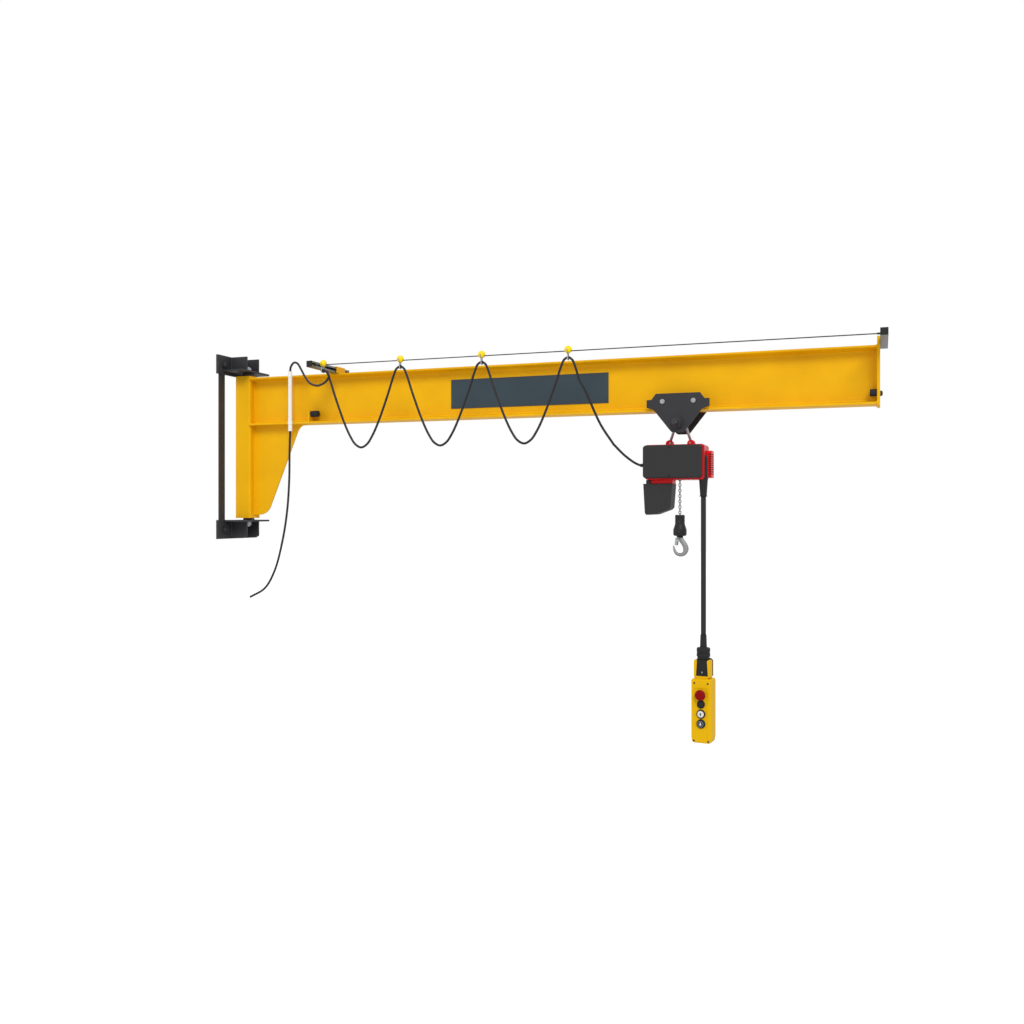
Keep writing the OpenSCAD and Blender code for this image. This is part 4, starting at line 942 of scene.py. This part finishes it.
class CRANE_OT_cable_supports(bpy.types.Operator):
    """Fits the cable rails, the stranded wire, the cable rollers and the conduit"""

    bl_idname = "crane.cable_supports"
    bl_label = "Cable supports"

    def execute(self, context):
        dress(root_rail=0.5, tip_rail=0.5, rail_clamp=2.0, rail_caps=1.0)
        self.wire(context)
        for i, node in enumerate(("fixed_clamp", "carrier_2", "carrier_3", "carrier_4")):
            self.roller(node, carrier_x(i), cables=2 if i == 0 else 1)
        self.conduit(context)
        clamp_low, clamp_high = low("rail_clamp"), high("rail_clamp")
        near, far, foot = clamp_low.y * 0.94, clamp_high.y * 0.94, clamp_low.z
        lines = [[(clamp_high.x, near, foot), (clamp_high.x, far, foot)]]
        lines.append([(clamp_low.x, far, foot), (clamp_low.x, near, foot)])
        welds("rail_clamp_welds", lines, "jib", "jib_yellow", width=5)
        return {"FINISHED"}

    def conduit(self, context):
        """A tube for the cable, with a bush in each end, on two saddles that stand off the flange."""
        x, y = middle("conduit").x, middle("conduit").y
        z0, z1 = low("conduit").z, high("conduit").z
        r = high("conduit").x - x
        bore, edge = r - 2, 0.8
        foot = [(bore, z0 + edge), (bore + edge, z0), (r - edge, z0), (r, z0 + edge)]
        tube = foot + [(q, z0 + z1 - z) for q, z in foot[::-1]]
        piece("conduit_tube", turned_solid(tube, turned((x, y, 0)), 48), "conduit_white", "jib", ["conduit"])
        inner = context.scene.crane_sizes.cable_diameter / MM / 2
        bush = [(inner + 0.2, 0), (inner + 3, -1.5), (bore - 0.2, 0.5), (bore - 0.2, 14), (inner + 0.2, 14)]
        grommets = [turned_solid(bush, turned((x, y, z), (0, 0, way)), 32) for z, way in ((z0, 1), (z1, -1))]
        piece("conduit_grommets", joined(*grommets), "black_plastic", "jib")
        saddles = []
        start, end, width = y + r, low("beam").y + 1, 16
        lower_edge = [(r + 0.1, 0.6), (r + 0.5, 0), (r + 1.3, 0), (r + 1.7, 0.6)]
        ring = lower_edge + [(q, width - z) for q, z in lower_edge[::-1]]
        for z in (low("conduit_clips").z, high("conduit_clips").z - width):
            saddles.append(turned_solid(ring, turned((x, y, z)), 48))
            saddles.append(block((9, end - start, width - 2), (x, (start + end) / 2, z + width / 2)))
        piece("conduit_saddles", joined(*saddles), "conduit_white", "jib", ["conduit_clips"])

    def wire(self, context):
        """The strand runs from inside one rail to inside the other, where a nut holds its threaded ends."""
        first, last = low("taut_wire"), high("taut_wire")
        z = middle("taut_wire").z
        mesh = grown("wire", strand_tree, {
            "Length": (last.x - first.x - 4) * MM, "Diameter": 5 * MM, "Lay": context.scene.crane_sizes.strand_lay,
            "Wires": 6,
        }, "wire_rope", points=[(0, 0, 0)], place=Matrix.Translation(Vector((first.x + 2, WIRE_Y, z)) * MM))
        to_object("taut_wire_strand", mesh, "wire_rope", "jib", ["taut_wire"], smooth=70)
        root_lip, tip_wall = high("root_rail").x, low("tip_rail").x
        ends = [
            rod(4, (first.x, WIRE_Y, z), (root_lip + 12, WIRE_Y, z)),
            rod(4, (tip_wall - 12, WIRE_Y, z), (last.x, WIRE_Y, z)),
        ]
        piece("wire_ends", joined(*ends), "wire_rope", "jib")
        for name, x, way in (("root", root_lip - 2.5, -1), ("tip", tip_wall + 2.5, 1)):
            bolts(
                f"wire_{name}_nut", [(x, WIRE_Y, z)], (way, 0, 0), "zinc_steel", "jib", flats=13, height=5, diameter=8,
                end=1, washer=18,
            )

    def roller(self, node, x, cables):
        """A ball in two halves on the wire, a hoop round it, and a clip that holds one cable or two."""
        body = NODE_BODY[node]
        r, groove = 16.5, 3.2
        z = middle("root_rail").z + 6.5
        ball_half = arc(0, 0, r, math.atan2(groove, math.sqrt(r * r - groove * groove)), math.pi / 2, 8)
        ball_half[-1] = (0, ball_half[-1][1])
        profile = [(q, -h) for q, h in ball_half[::-1]] + [(3.7, -groove), (3.7, groove)] + ball_half
        ball = turned_solid(profile, turned((x, WIRE_Y, z), (0, 1, 0)), 40)
        piece(f"{node}_roller", ball, "roller_yellow", body, [node], smooth=40)
        hoop_r, wire_r = r + 1.8, 1.3
        hoop = [(x, WIRE_Y + hoop_r * math.cos(a), z - hoop_r * math.sin(a)) for a in np.linspace(0, math.pi, 25)]
        pin = rod(1.9, (x, WIRE_Y - hoop_r - 1, z), (x, WIRE_Y + hoop_r + 1, z))
        stem = rod(1.6, (x, WIRE_Y, z - hoop_r + 0.5), (x, WIRE_Y, CLIP_Z + 6))
        piece(f"{node}_hanger", joined(swept(hoop, wire_r, 12, hint=(1, 0, 0)), pin, stem), "zinc_steel", body)
        cable_r = bpy.context.scene.crane_sizes.cable_diameter / MM / 2
        inner, outer, pitch = cable_r + 0.1, cable_r + 1, 11
        places = [WIRE_Y - i * pitch for i in range(cables)]
        ring = [(inner, -6), (outer - 0.4, -6), (outer, -5), (outer, 5), (outer - 0.4, 6), (inner, 6)]
        cushions = [turned_solid(ring, turned((x, y, CLIP_Z), (1, 0, 0)), 32) for y in places]
        piece(f"{node}_cushion", joined(*cushions), "black_plastic", body)
        near, far = places[-1] - outer - 0.6, places[0] + outer + 0.6
        foot, thick = CLIP_Z - outer - 5, 1.2
        band = [block((5, thick, z - hoop_r - foot), (x, y, (z - hoop_r + foot) / 2)) for y in (near, far)]
        band.append(block((5, far - near + thick, thick), (x, (near + far) / 2, z - hoop_r - thick / 2)))
        piece(f"{node}_band", joined(*band), "zinc_steel", body, edge=0.3)
        screw = rod(1.9, (x, near - 2, foot + 2.5), (x, far + 2, foot + 2.5), 0.6)
        piece(f"{node}_clip_screw", screw, "zinc_steel", body)


class CRANE_OT_trolley(bpy.types.Operator):
    """Finishes the push trolley: its plates, wheels, axle pins and suspension bolt"""

    bl_idname = "crane.trolley"
    bl_label = "Push trolley"

    def execute(self, context):
        dress(trolley_plate_near=1.5, trolley_plate_far=1.5, suspension_bolt=1.0)
        start, axle_end = 22, high("trolley_axles").y
        plate_face = axle_end - 5 - start
        bar = [
            (0, 0), (8, 0), (8, plate_face), (10.4, plate_face), (10.4, plate_face + 3.4), (9.2, plate_face + 4.4),
            (5.4, plate_face + 4.4), (4.8, plate_face + 5.1), (0, plate_face + 5.1),
        ]
        heads = []
        for n in (1, 2, 3, 4):
            dressed(f"wheel_{n}", 1.0)
            centre = middle(f"wheel_{n}")
            side = -1 if centre.y < 0 else 1
            heads.append(turned_solid(bar, turned((centre.x, side * start, centre.z), (0, side, 0)), 40))
        piece("axle_pins", joined(*heads), "zinc_steel", "trolley", ["trolley_axles"])
        return {"FINISHED"}


class CRANE_OT_hoist(bpy.types.Operator):
    """Finishes the hoist: bail, housing, cover, fan cover, chain guide, chain bag and cable outlet"""

    bl_idname = "crane.hoist"
    bl_label = "Chain hoist"

    def execute(self, context):
        dress(hoist_housing=6.0, fan_cover=1.5, chain_guide=2.0, chain_bag=1.5, slack_chain=3.0, lift_pin=0.4)
        dressed("hoist_bail", 0, smooth=60)
        dressed("cable_outlet", 1.0)
        self.cover()
        self.louvre_shade()
        head = [(0, 0), (4, 0), (4, 1.2), (3, 2.2), (0, 2.6)]
        rivets = [turned_solid(head, turned((BAIL_X + s * LUG_X, -15, 388), FRONT), 24) for s in (-1, 1)]
        piece("lug_rivets", joined(*rivets), "zinc_steel", "hoist")
        return {"FINISHED"}

    def louvre_shade(self):
        """Painted shade in the fan cover's louvre openings: dark blocks at their depths on the outer face, and where
        they run out on the near one.
        """
        first, last = low("fan_cover"), high("fan_cover")
        count, margin = 10, 12
        pitch = (last.z - first.z - 2 * margin) / count
        height = pitch / 2 - 0.2
        slot_shades = []
        for i in range(count):
            z = first.z + margin + (i + 0.5) * pitch
            slot_shades.append(block((1.6, last.y - first.y - 16.4, height), (last.x - 4.4, (first.y + last.y) / 2, z)))
            slot_shades.append(block((10, 4, height), (last.x - 7, first.y + 1.8, z)))
        # Black blocks paint the shade inside the openings.
        piece("fan_louvre_shade", joined(*slot_shades), "button_black", "hoist")

    def cover(self):
        """The cover's rounded moulding, a little taller than its solid, with its cable gland and two screws."""
        face, back = low("hoist_cover").y, high("hoist_cover").y
        x0, x1 = low("hoist_cover").x + 12, high("hoist_cover").x
        z0, z1 = low("hoist_cover").z - 2, high("hoist_cover").z + 3.5
        width, height = x1 - x0, z1 - z0
        place = turned(((x0 + x1) / 2, back, (z0 + z1) / 2), FRONT)

        def outline(inset):
            return rounded(width - 2 * inset, height - 2 * inset, max(14 - inset * 0.6, 3), 8)

        levels = [(0, 1.2), (1.2, 0)] + rounded_end(back - face, 7)
        piece("cover_moulding", pillow(outline, levels, place), "cover_black", "hoist", ["hoist_cover"], smooth=40)
        gland = turned_solid(
            [(0, 0), (8, 0), (8, 2), (7.4, 3), (7.4, 9), (6.4, 12), (0, 12)],
            turned((x0 + 0.5, GLAND_Y, GLAND_Z), (-1, 0, 0)),
        )
        piece("cover_cable_gland", gland, "black_plastic", "hoist")
        screws = []
        for s in (-1, 1):
            at = turned((x0 + 117, face + 0.4, (z0 + z1) / 2 + s * (height / 2 - 10)), FRONT)
            screws.append(socket_screw(at, recess=2.4, floor=0.9, crown=1.6, rim=4.6, radius=5, shoulder=0.6, depth=3))
        piece("cover_screws", joined(*screws), "black_plastic", "hoist")


class CRANE_OT_hook(bpy.types.Operator):
    """Hangs the chain, the hook block and the swivel hook with its latch"""

    bl_idname = "crane.hook"
    bl_label = "Chain and hook"

    def execute(self, context):
        self.chain(context)
        self.block()
        self.hook()
        self.latch()
        return {"FINISHED"}

    def chain(self, context):
        """All the links that the lowest hook needs. They are laid out for that pose, then gathered into the housing by
        undoing a smoothstep blend, which would draw them out again at the right pitch; no such blend is made here."""
        sizes = context.scene.crane_sizes
        travel = -joint("hook_lift")["range_m"][0]
        first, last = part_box("chain")[0].z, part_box("chain")[1].z
        centre = middle("chain")
        pitch, wire = sizes.chain_pitch, sizes.chain_wire
        base = first + pitch / 2 + wire
        mesh = grown("chain_links", chain_tree, {
            "Links": round((last - base) / pitch) + round(travel / pitch), "Pitch": pitch, "Wire": wire,
            "Width": sizes.chain_width,
        }, "chain_steel", points=[(0, 0, 0)], place=Matrix.Translation((centre.x * MM, 0, base - travel)))
        mouth, fixed = (low("hoist_housing").z + 4) * MM, last - 0.008

        def lowered(z):
            t = np.clip((fixed - z) / (fixed - mouth), 0, 1)
            return z - t * t * (3 - 2 * t) * travel

        co = np.array([v.co for v in mesh.vertices], float)
        lo, hi = np.full(len(co), first - 0.01), np.full(len(co), last + 0.01)
        for _ in range(50):
            mid = (lo + hi) / 2
            below = lowered(mid) < co[:, 2]
            lo, hi = np.where(below, mid, lo), np.where(below, hi, mid)
        co[:, 2] = (lo + hi) / 2
        mesh.vertices.foreach_set("co", co.astype(np.float32).ravel())
        mesh.update()
        obj = to_object("chain_links", mesh, "chain_steel", None, ["chain"], smooth=180)
        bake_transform(obj)

    def block(self):
        """The block's waisted shell, its cross pin and the screws that hold its halves together."""
        x, top, foot = middle("hook_block").x, high("hook_block").z, low("hook_block").z
        profile = [
            (0, top - 26), (11, top - 26), (11, top), (18, top), (20, top - 1), (21, top - 3), (21, top - 14),
            (20.4, top - 15), (20.4, top - 17), (21, top - 18), (21, top - 39), (22, top - 43), (27.5, top - 60),
            (29, top - 64), (29, foot + 8), (27, foot + 3), (23, foot), (7.2, foot), (7.2, foot + 24), (12, foot + 24),
            (12, foot + 38), (0, foot + 38),
        ]
        shell = turned_solid(profile, turned((x, 0, 0)), 56)
        piece("hook_block_shell", shell, "black_plastic", "bottom_block", ["hook_block"], smooth=35)
        piece("hook_block_pin", rod(2.3, (x, -12, top - 17), (x, 12, top - 17)), "zinc_steel", "bottom_block")
        screws = []
        for s in (-1, 1):
            for z, r in ((top - 30, 21), (foot + 20, 29)):
                at = turned((x, s * r, z), (0, s, 0))
                screws.append(socket_screw(
                    at, recess=2, floor=0.6, crown=1.2, rim=4, radius=4.2, shoulder=0, depth=3, sides=20
                ))
        piece("hook_block_screws", joined(*screws), "dark_steel", "bottom_block")

    def hook(self):
        """Forged hook: slim at its point, deepest at the side that bends under load."""
        x = middle("chain").x
        sections = [  # x, z, half depth, half width
            (0, -11, 7, 7), (0, -18, 8, 8), (1, -24, 10.5, 8.5), (4.5, -31.5, 11, 8.7), (10, -40, 11, 8.7),
            (16.6, -49, 11.2, 8.8), (22.2, -59, 11.8, 9), (25.8, -71, 12.1, 9), (25.2, -82, 11.6, 9),
            (20.6, -91.5, 10.4, 9), (12.5, -97.6, 9.2, 8.8), (2, -99.4, 8.4, 8.5), (-8.5, -97.6, 8.2, 8),
            (-17.2, -91.8, 7.8, 7.4), (-22.8, -83, 7, 6.8), (-25.2, -74.2, 6.1, 6.2), (-27, -67, 4.8, 5.4),
            (-28.6, -61.8, 2.9, 4.4), (-30.2, -58.9, 0.9, 2.4),
        ]
        path = smooth_line([(x + a, 0, z) for a, z, _, _ in sections], 3.0)
        at = np.linspace(0, len(sections) - 1, len(path))
        depths, widths = (list(np.interp(at, range(len(sections)), [q[k] for q in sections])) for k in (2, 3))
        head = low("hook_block").z + 24.4
        collar = rod(11.4, (x, 0, head), (x, 0, head + 11), 1)
        shank = rod(6.9, (x, 0, -14), (x, 0, head + 2), 0.3)
        forging = joined(swept(path, depths, 24, widths), collar, shank)
        piece("forged_hook", forging, "hook_steel", "swivel_hook", ["hook"], smooth=50)
        piece("hook_collar", rod(14, (x, 0, -24), (x, 0, -17.4), 0.8), "black_plastic", "swivel_hook")

    def latch(self):
        """A pressed channel: two ears on the pin and a blade across the mouth, with a dark spring plate between that
        also paints the shade inside the channel on the far ear.
        """
        x = middle("chain").x
        pin_z = joint("latch_swing")["pos_m"][2] / MM
        ear_y, t = 9.6, 1.5
        ear = [
            (-17, -25), (-12, -25), (-9.5, -28), (-1, pin_z + 4.4), (2.6, pin_z + 3), (4, pin_z), (2.6, pin_z - 3),
            (-1, pin_z - 4.4), (-8.5, -42), (-9.6, -54), (-11, -58), (-14, -59), (-21.2, -56.8),
        ]
        shapes = [plate(ear, t, turned((x, s * (ear_y + t / 2) + t / 2, 0), FRONT)) for s in (-1, 1)]
        blade = [(-21.8, -56.4), (-20.4, -56.9), (-16.2, -25.2), (-17.6, -25)]
        shapes.append(plate(blade, 2 * ear_y + 1, turned((x, ear_y + 0.5, 0), FRONT)))
        shapes.append(rod(2.1, (x, -ear_y - t - 1.4, pin_z), (x, ear_y + t + 1.4, pin_z)))
        piece("pressed_latch", joined(*shapes), "zinc_steel", "latch", ["hook_latch"])
        # A dark plate along the far ear: the spring, and painted shade of the channel's inside.
        spring_and_shade = [(-15.5, -26.5), (-9.8, -28.5), (-9, -42), (-10, -54), (-11.6, -57.4), (-19, -55.6)]
        piece("latch_spring_and_shade", plate(spring_and_shade, 1.2, turned((x, ear_y - 0.3, 0), FRONT)), "dark_steel", "latch")


class CRANE_OT_control(bpy.types.Operator):
    """Builds the hanging pendant control: its gland, shell, neck, screws and buttons"""

    bl_idname = "crane.control"
    bl_label = "Pendant control"

    def execute(self, context):
        self.place = Matrix.Translation((2401, -40, 0)) @ Matrix.Rotation(math.radians(-7), 4, "Z")
        self.face = -37.5  # local y of the shell's front
        dressed("pendant_gland", 3.0)
        self.shell()
        self.neck()
        self.buttons()
        return {"FINISHED"}

    def add(self, name, shape, slot, body="hoist", stands_for=(), **looks):
        return piece(name, placed(shape, self.place), slot, body, stands_for, **looks)

    def facing(self, x, y, z):
        """A place on the front of the control: local X is across, Y is up and Z comes out of it."""
        return turned((x, y, z), FRONT)

    def shell(self):
        """The shell, its lower corners cut, with a shallow sunk field for the buttons, a back and four screws."""
        top, foot, half_w, rear = -626, -901, 44, 29
        quarter_turn = (0, math.pi / 2, 6)

        def outline(inset):
            w, z, r = half_w - inset, foot + inset, max(10 - inset * 0.6, 3)
            right = [(w - 11, z), (w - 6, z + 2), (w - 3, z + 7), (w, z + 24)]
            return both_halves(right + arc(w - r, top - inset - r, r, *quarter_turn))

        depth = rear - self.face
        rings = [[(x, y, z) for x, y in outline(inset)] for z, inset in [(0, 0)] + rounded_end(depth, 7)]
        for inset, sunk in ((0, 0), (0.5, 1), (1.2, 1.5)):
            w, high_z, low_z = 28 - inset, top - 40 - inset, foot + 15 + inset
            right = [(w - 3, low_z), (w - 1, low_z + 0.6), (w - 0.4, low_z + 1.6), (w, low_z + 3)]
            right += arc(w - 3, high_z - 3, 3, *quarter_turn)
            rings.append([(x, y, depth - sunk) for x, y in both_halves(right)])
        shell = placed(skinned(rings), self.facing(0, rear, 0))
        self.add("control_shell", shell, "pendant_yellow", stands_for=["pendant_body"], smooth=30)
        behind = turned((0, rear - 0.5, 0), (0, 1, 0), (-1, 0, 0))
        back = pillow(lambda inset: outline(inset + 0.8), [(0, 0)] + rounded_end(9, 3.5), behind)
        self.add("control_back", back, "black_plastic", smooth=40)
        screws = []
        for s in (-1, 1):
            for z, out in ((top - 19, 29.5), (foot + 10, 31.5)):
                at = self.facing(s * out, self.face, z)
                screws.append(socket_screw(
                    at, recess=1.6, floor=0.1, crown=0.8, rim=4, radius=4.5, shoulder=-0.2, depth=3
                ))
        self.add("control_screws", joined(*screws), "dark_steel")

    def neck(self):
        """Two cheeks and a cross block that hold the gland, with a dark inlay between them."""
        crown, foot = -553, -618
        cheek = [(26.5, foot - 4), (34, foot - 4), (36, foot - 1)] + arc(29, crown, 7, 0, math.pi, 12)
        shapes = [plate(side, 36, self.facing(0, 11, 0)) for side in (cheek, [(-x, z) for x, z in cheek[::-1]])]
        shapes.append(block((54, 44, 14), (0, -2, foot - 5)))
        self.add("control_neck", joined(*shapes), "pendant_yellow", edge=1.2)
        inlay = [(-27.5, foot + 1.5), (27.5, foot + 1.5), (21.5, crown + 8), (-21.5, crown + 8)]
        rear = both_halves([(36.4, foot), (36.4, crown), (32, crown + 8), (25, crown + 11.5)])
        rear = rear[-1:] + rear[:-1]
        shapes = [plate(inlay, 34, self.facing(0, 11.5, 0)), plate(rear, 14, self.facing(0, 25, 0))]
        self.add("control_neck_inlay", joined(*shapes), "button_black", edge=1.2)
        at = self.facing(0, -22.6, -600)
        screw = socket_screw(at, recess=1.4, floor=0.4, crown=1, rim=3.2, radius=3.6, shoulder=0, depth=2)
        self.add("control_neck_screw", screw, "zinc_steel")

    def buttons(self):
        """A mushroom head over three round caps in bezels, the last two with arrows."""
        rows = {name: middle(f"{name}_button").z for name in ("stop", "start", "raise", "lower")}
        face = self.face
        for name, outer in (("start", 17.2), ("raise", 19), ("lower", 19)):
            ring = [(14.3, -2), (outer, -2), (outer, 3.2), (outer - 1.6, 5), (15.2, 5), (14.3, 4.2)]
            bezel = turned_solid(ring, self.facing(0, face + 0.05, rows[name]), 48)
            self.add(f"{name}_button_bezel", bezel, "button_black", smooth=35)
        dome = [
            (0, 14), (9, 13.7), (16, 12.8), (20.5, 10.9), (22.6, 8.4), (23, 5.5), (22.2, 2.6), (19, 0.8), (11, 0),
            (11, -20), (0, -20),
        ]
        head = turned_solid(dome, self.facing(0, face - 8, rows["stop"]), 56)
        self.add("stop_mushroom", head, "stop_red", "stop_push", ["stop_button"], smooth=45)
        collar = [(11.4, -2), (15, -2), (14.2, 1.2), (11.4, 1.2)]
        self.add("stop_collar", turned_solid(collar, self.facing(0, face, rows["stop"]), 40), "button_black")
        profile = [(0, 9.8), (8, 9.7), (12.2, 9.2), (13.8, 8), (14, 6.5), (14, 0.5), (13, 0.5), (13, -4), (0, -4)]
        for name, slot in (("start", "button_black"), ("raise", "button_white"), ("lower", "button_grey")):
            cap = turned_solid(profile, self.facing(0, face, rows[name]), 48)
            self.add(f"{name}_cap", cap, slot, f"{name}_push", [f"{name}_button"], smooth=40)
        arrow = [(-2.2, -7), (2.2, -7), (2.2, 0.5), (6, 0.5), (0, 7.4), (-6, 0.5), (-2.2, 0.5)]
        for name, slot, way in (("raise", "button_grey", 1), ("lower", "button_white", -1)):
            sign = plate([(x * way, y * way) for x, y in arrow], 0.7, self.facing(0, face - 9.5, rows[name]))
            self.add(f"{name}_arrow", sign, slot, f"{name}_push")
        # A thin bright ring on the lower cap's rounded shoulder: painted highlight of its rim.
        light = [(11.6, 9.1), (12.9, 8.9), (12.9, 9.7), (11.6, 9.9)]
        ring = turned_solid(light, self.facing(0, face, rows["lower"]), 48)
        self.add("lower_rim_highlight", ring, "zinc_steel", "lower_push")


class CRANE_OT_stage(bpy.types.Operator):
    """Adds the pale floor, the light from all round and the lamps"""

    bl_idname = "crane.stage"
    bl_label = "Floor and light"

    def execute(self, context):
        floor_z, half_side = -2.4, 60
        mesh = bpy.data.meshes.new("floor")
        corners = [(sx * half_side, sy * half_side, floor_z) for sx, sy in ((-1, -1), (1, -1), (1, 1), (-1, 1))]
        mesh.from_pydata(corners, [], [(0, 1, 2, 3)])
        floor = bpy.data.objects.new("floor", mesh)
        context.scene.collection.objects.link(floor)
        material = bpy.data.materials.new("matt white floor")
        tree = empty_tree(material)
        plain = add_node(tree, "ShaderNodeBsdfDiffuse", {"Color": (0.8, 0.8, 0.8, 1)})
        ray = add_node(tree, "ShaderNodeLightPath").outputs["Is Camera Ray"]
        glow = add_node(tree, "ShaderNodeEmission", {"Strength": times(tree, ray, 0.36)})
        both = add_node(tree, "ShaderNodeAddShader", {0: plain.outputs[0], 1: glow.outputs[0]})
        add_node(tree, "ShaderNodeOutputMaterial", {"Surface": both.outputs[0]})
        mesh.materials.append(material)
        world = bpy.data.worlds.new("studio")
        context.scene.world = world
        tree = empty_tree(world)
        path = add_node(tree, "ShaderNodeLightPath").outputs
        seen = arith(tree, "MAXIMUM", path["Is Camera Ray"], path["Is Glossy Ray"])
        seen = arith(tree, "MAXIMUM", seen, path["Is Transmission Ray"])
        around, white = 0.62, 1.0
        level = arith(tree, "ADD", times(tree, seen, white - around), around)
        sky = add_node(tree, "ShaderNodeBackground", {"Color": (1, 1, 1, 1), "Strength": level})
        add_node(tree, "ShaderNodeOutputWorld", {"Surface": sky.outputs[0]})
        for name, strength, angle, turn in (("key", 1.5, 25, (52, 0, 28)), ("fill", 0.35, 40, (70, 0, -60))):
            data = bpy.data.lights.new(name, "SUN")
            data.energy, data.angle = strength, math.radians(angle)
            lamp = bpy.data.objects.new(name, data)
            lamp.rotation_euler = [math.radians(a) for a in turn]
            context.scene.collection.objects.link(lamp)
        context.scene.view_settings.view_transform = "Standard"
        return {"FINISHED"}


OPERATORS = (
    CRANE_OT_camera, CRANE_OT_cables, CRANE_OT_brackets, CRANE_OT_jib, CRANE_OT_cable_supports, CRANE_OT_trolley,
    CRANE_OT_hoist, CRANE_OT_hook, CRANE_OT_control, CRANE_OT_stage,
)


class CRANE_PT_panel(bpy.types.Panel):
    """Lists the crane's sizes, colours and pieces"""

    bl_idname = "CRANE_PT_panel"
    bl_label = "Slewing jib crane"
    bl_space_type = "VIEW_3D"
    bl_region_type = "UI"
    bl_category = "Crane"

    def draw(self, context):
        for group in (context.scene.crane_sizes, context.scene.crane_colours):
            for name in group.bl_rna.properties.keys():
                if name not in ("rna_type", "name"):
                    self.layout.prop(group, name)
        for operator in OPERATORS:
            self.layout.operator(operator.bl_idname)


CLASSES = (CraneSizes, CraneColours, *OPERATORS, CRANE_PT_panel)


def register():
    for cls in CLASSES:
        bpy.utils.register_class(cls)
    bpy.types.Scene.crane_sizes = bpy.props.PointerProperty(type=CraneSizes)
    bpy.types.Scene.crane_colours = bpy.props.PointerProperty(type=CraneColours)


def unregister():
    del bpy.types.Scene.crane_colours
    del bpy.types.Scene.crane_sizes
    for cls in reversed(CLASSES):
        bpy.utils.unregister_class(cls)


def main():
    register()
    for operator in OPERATORS:
        group, name = operator.bl_idname.split(".")
        getattr(getattr(bpy.ops, group), name)()


if __name__ == "__main__":
    main()
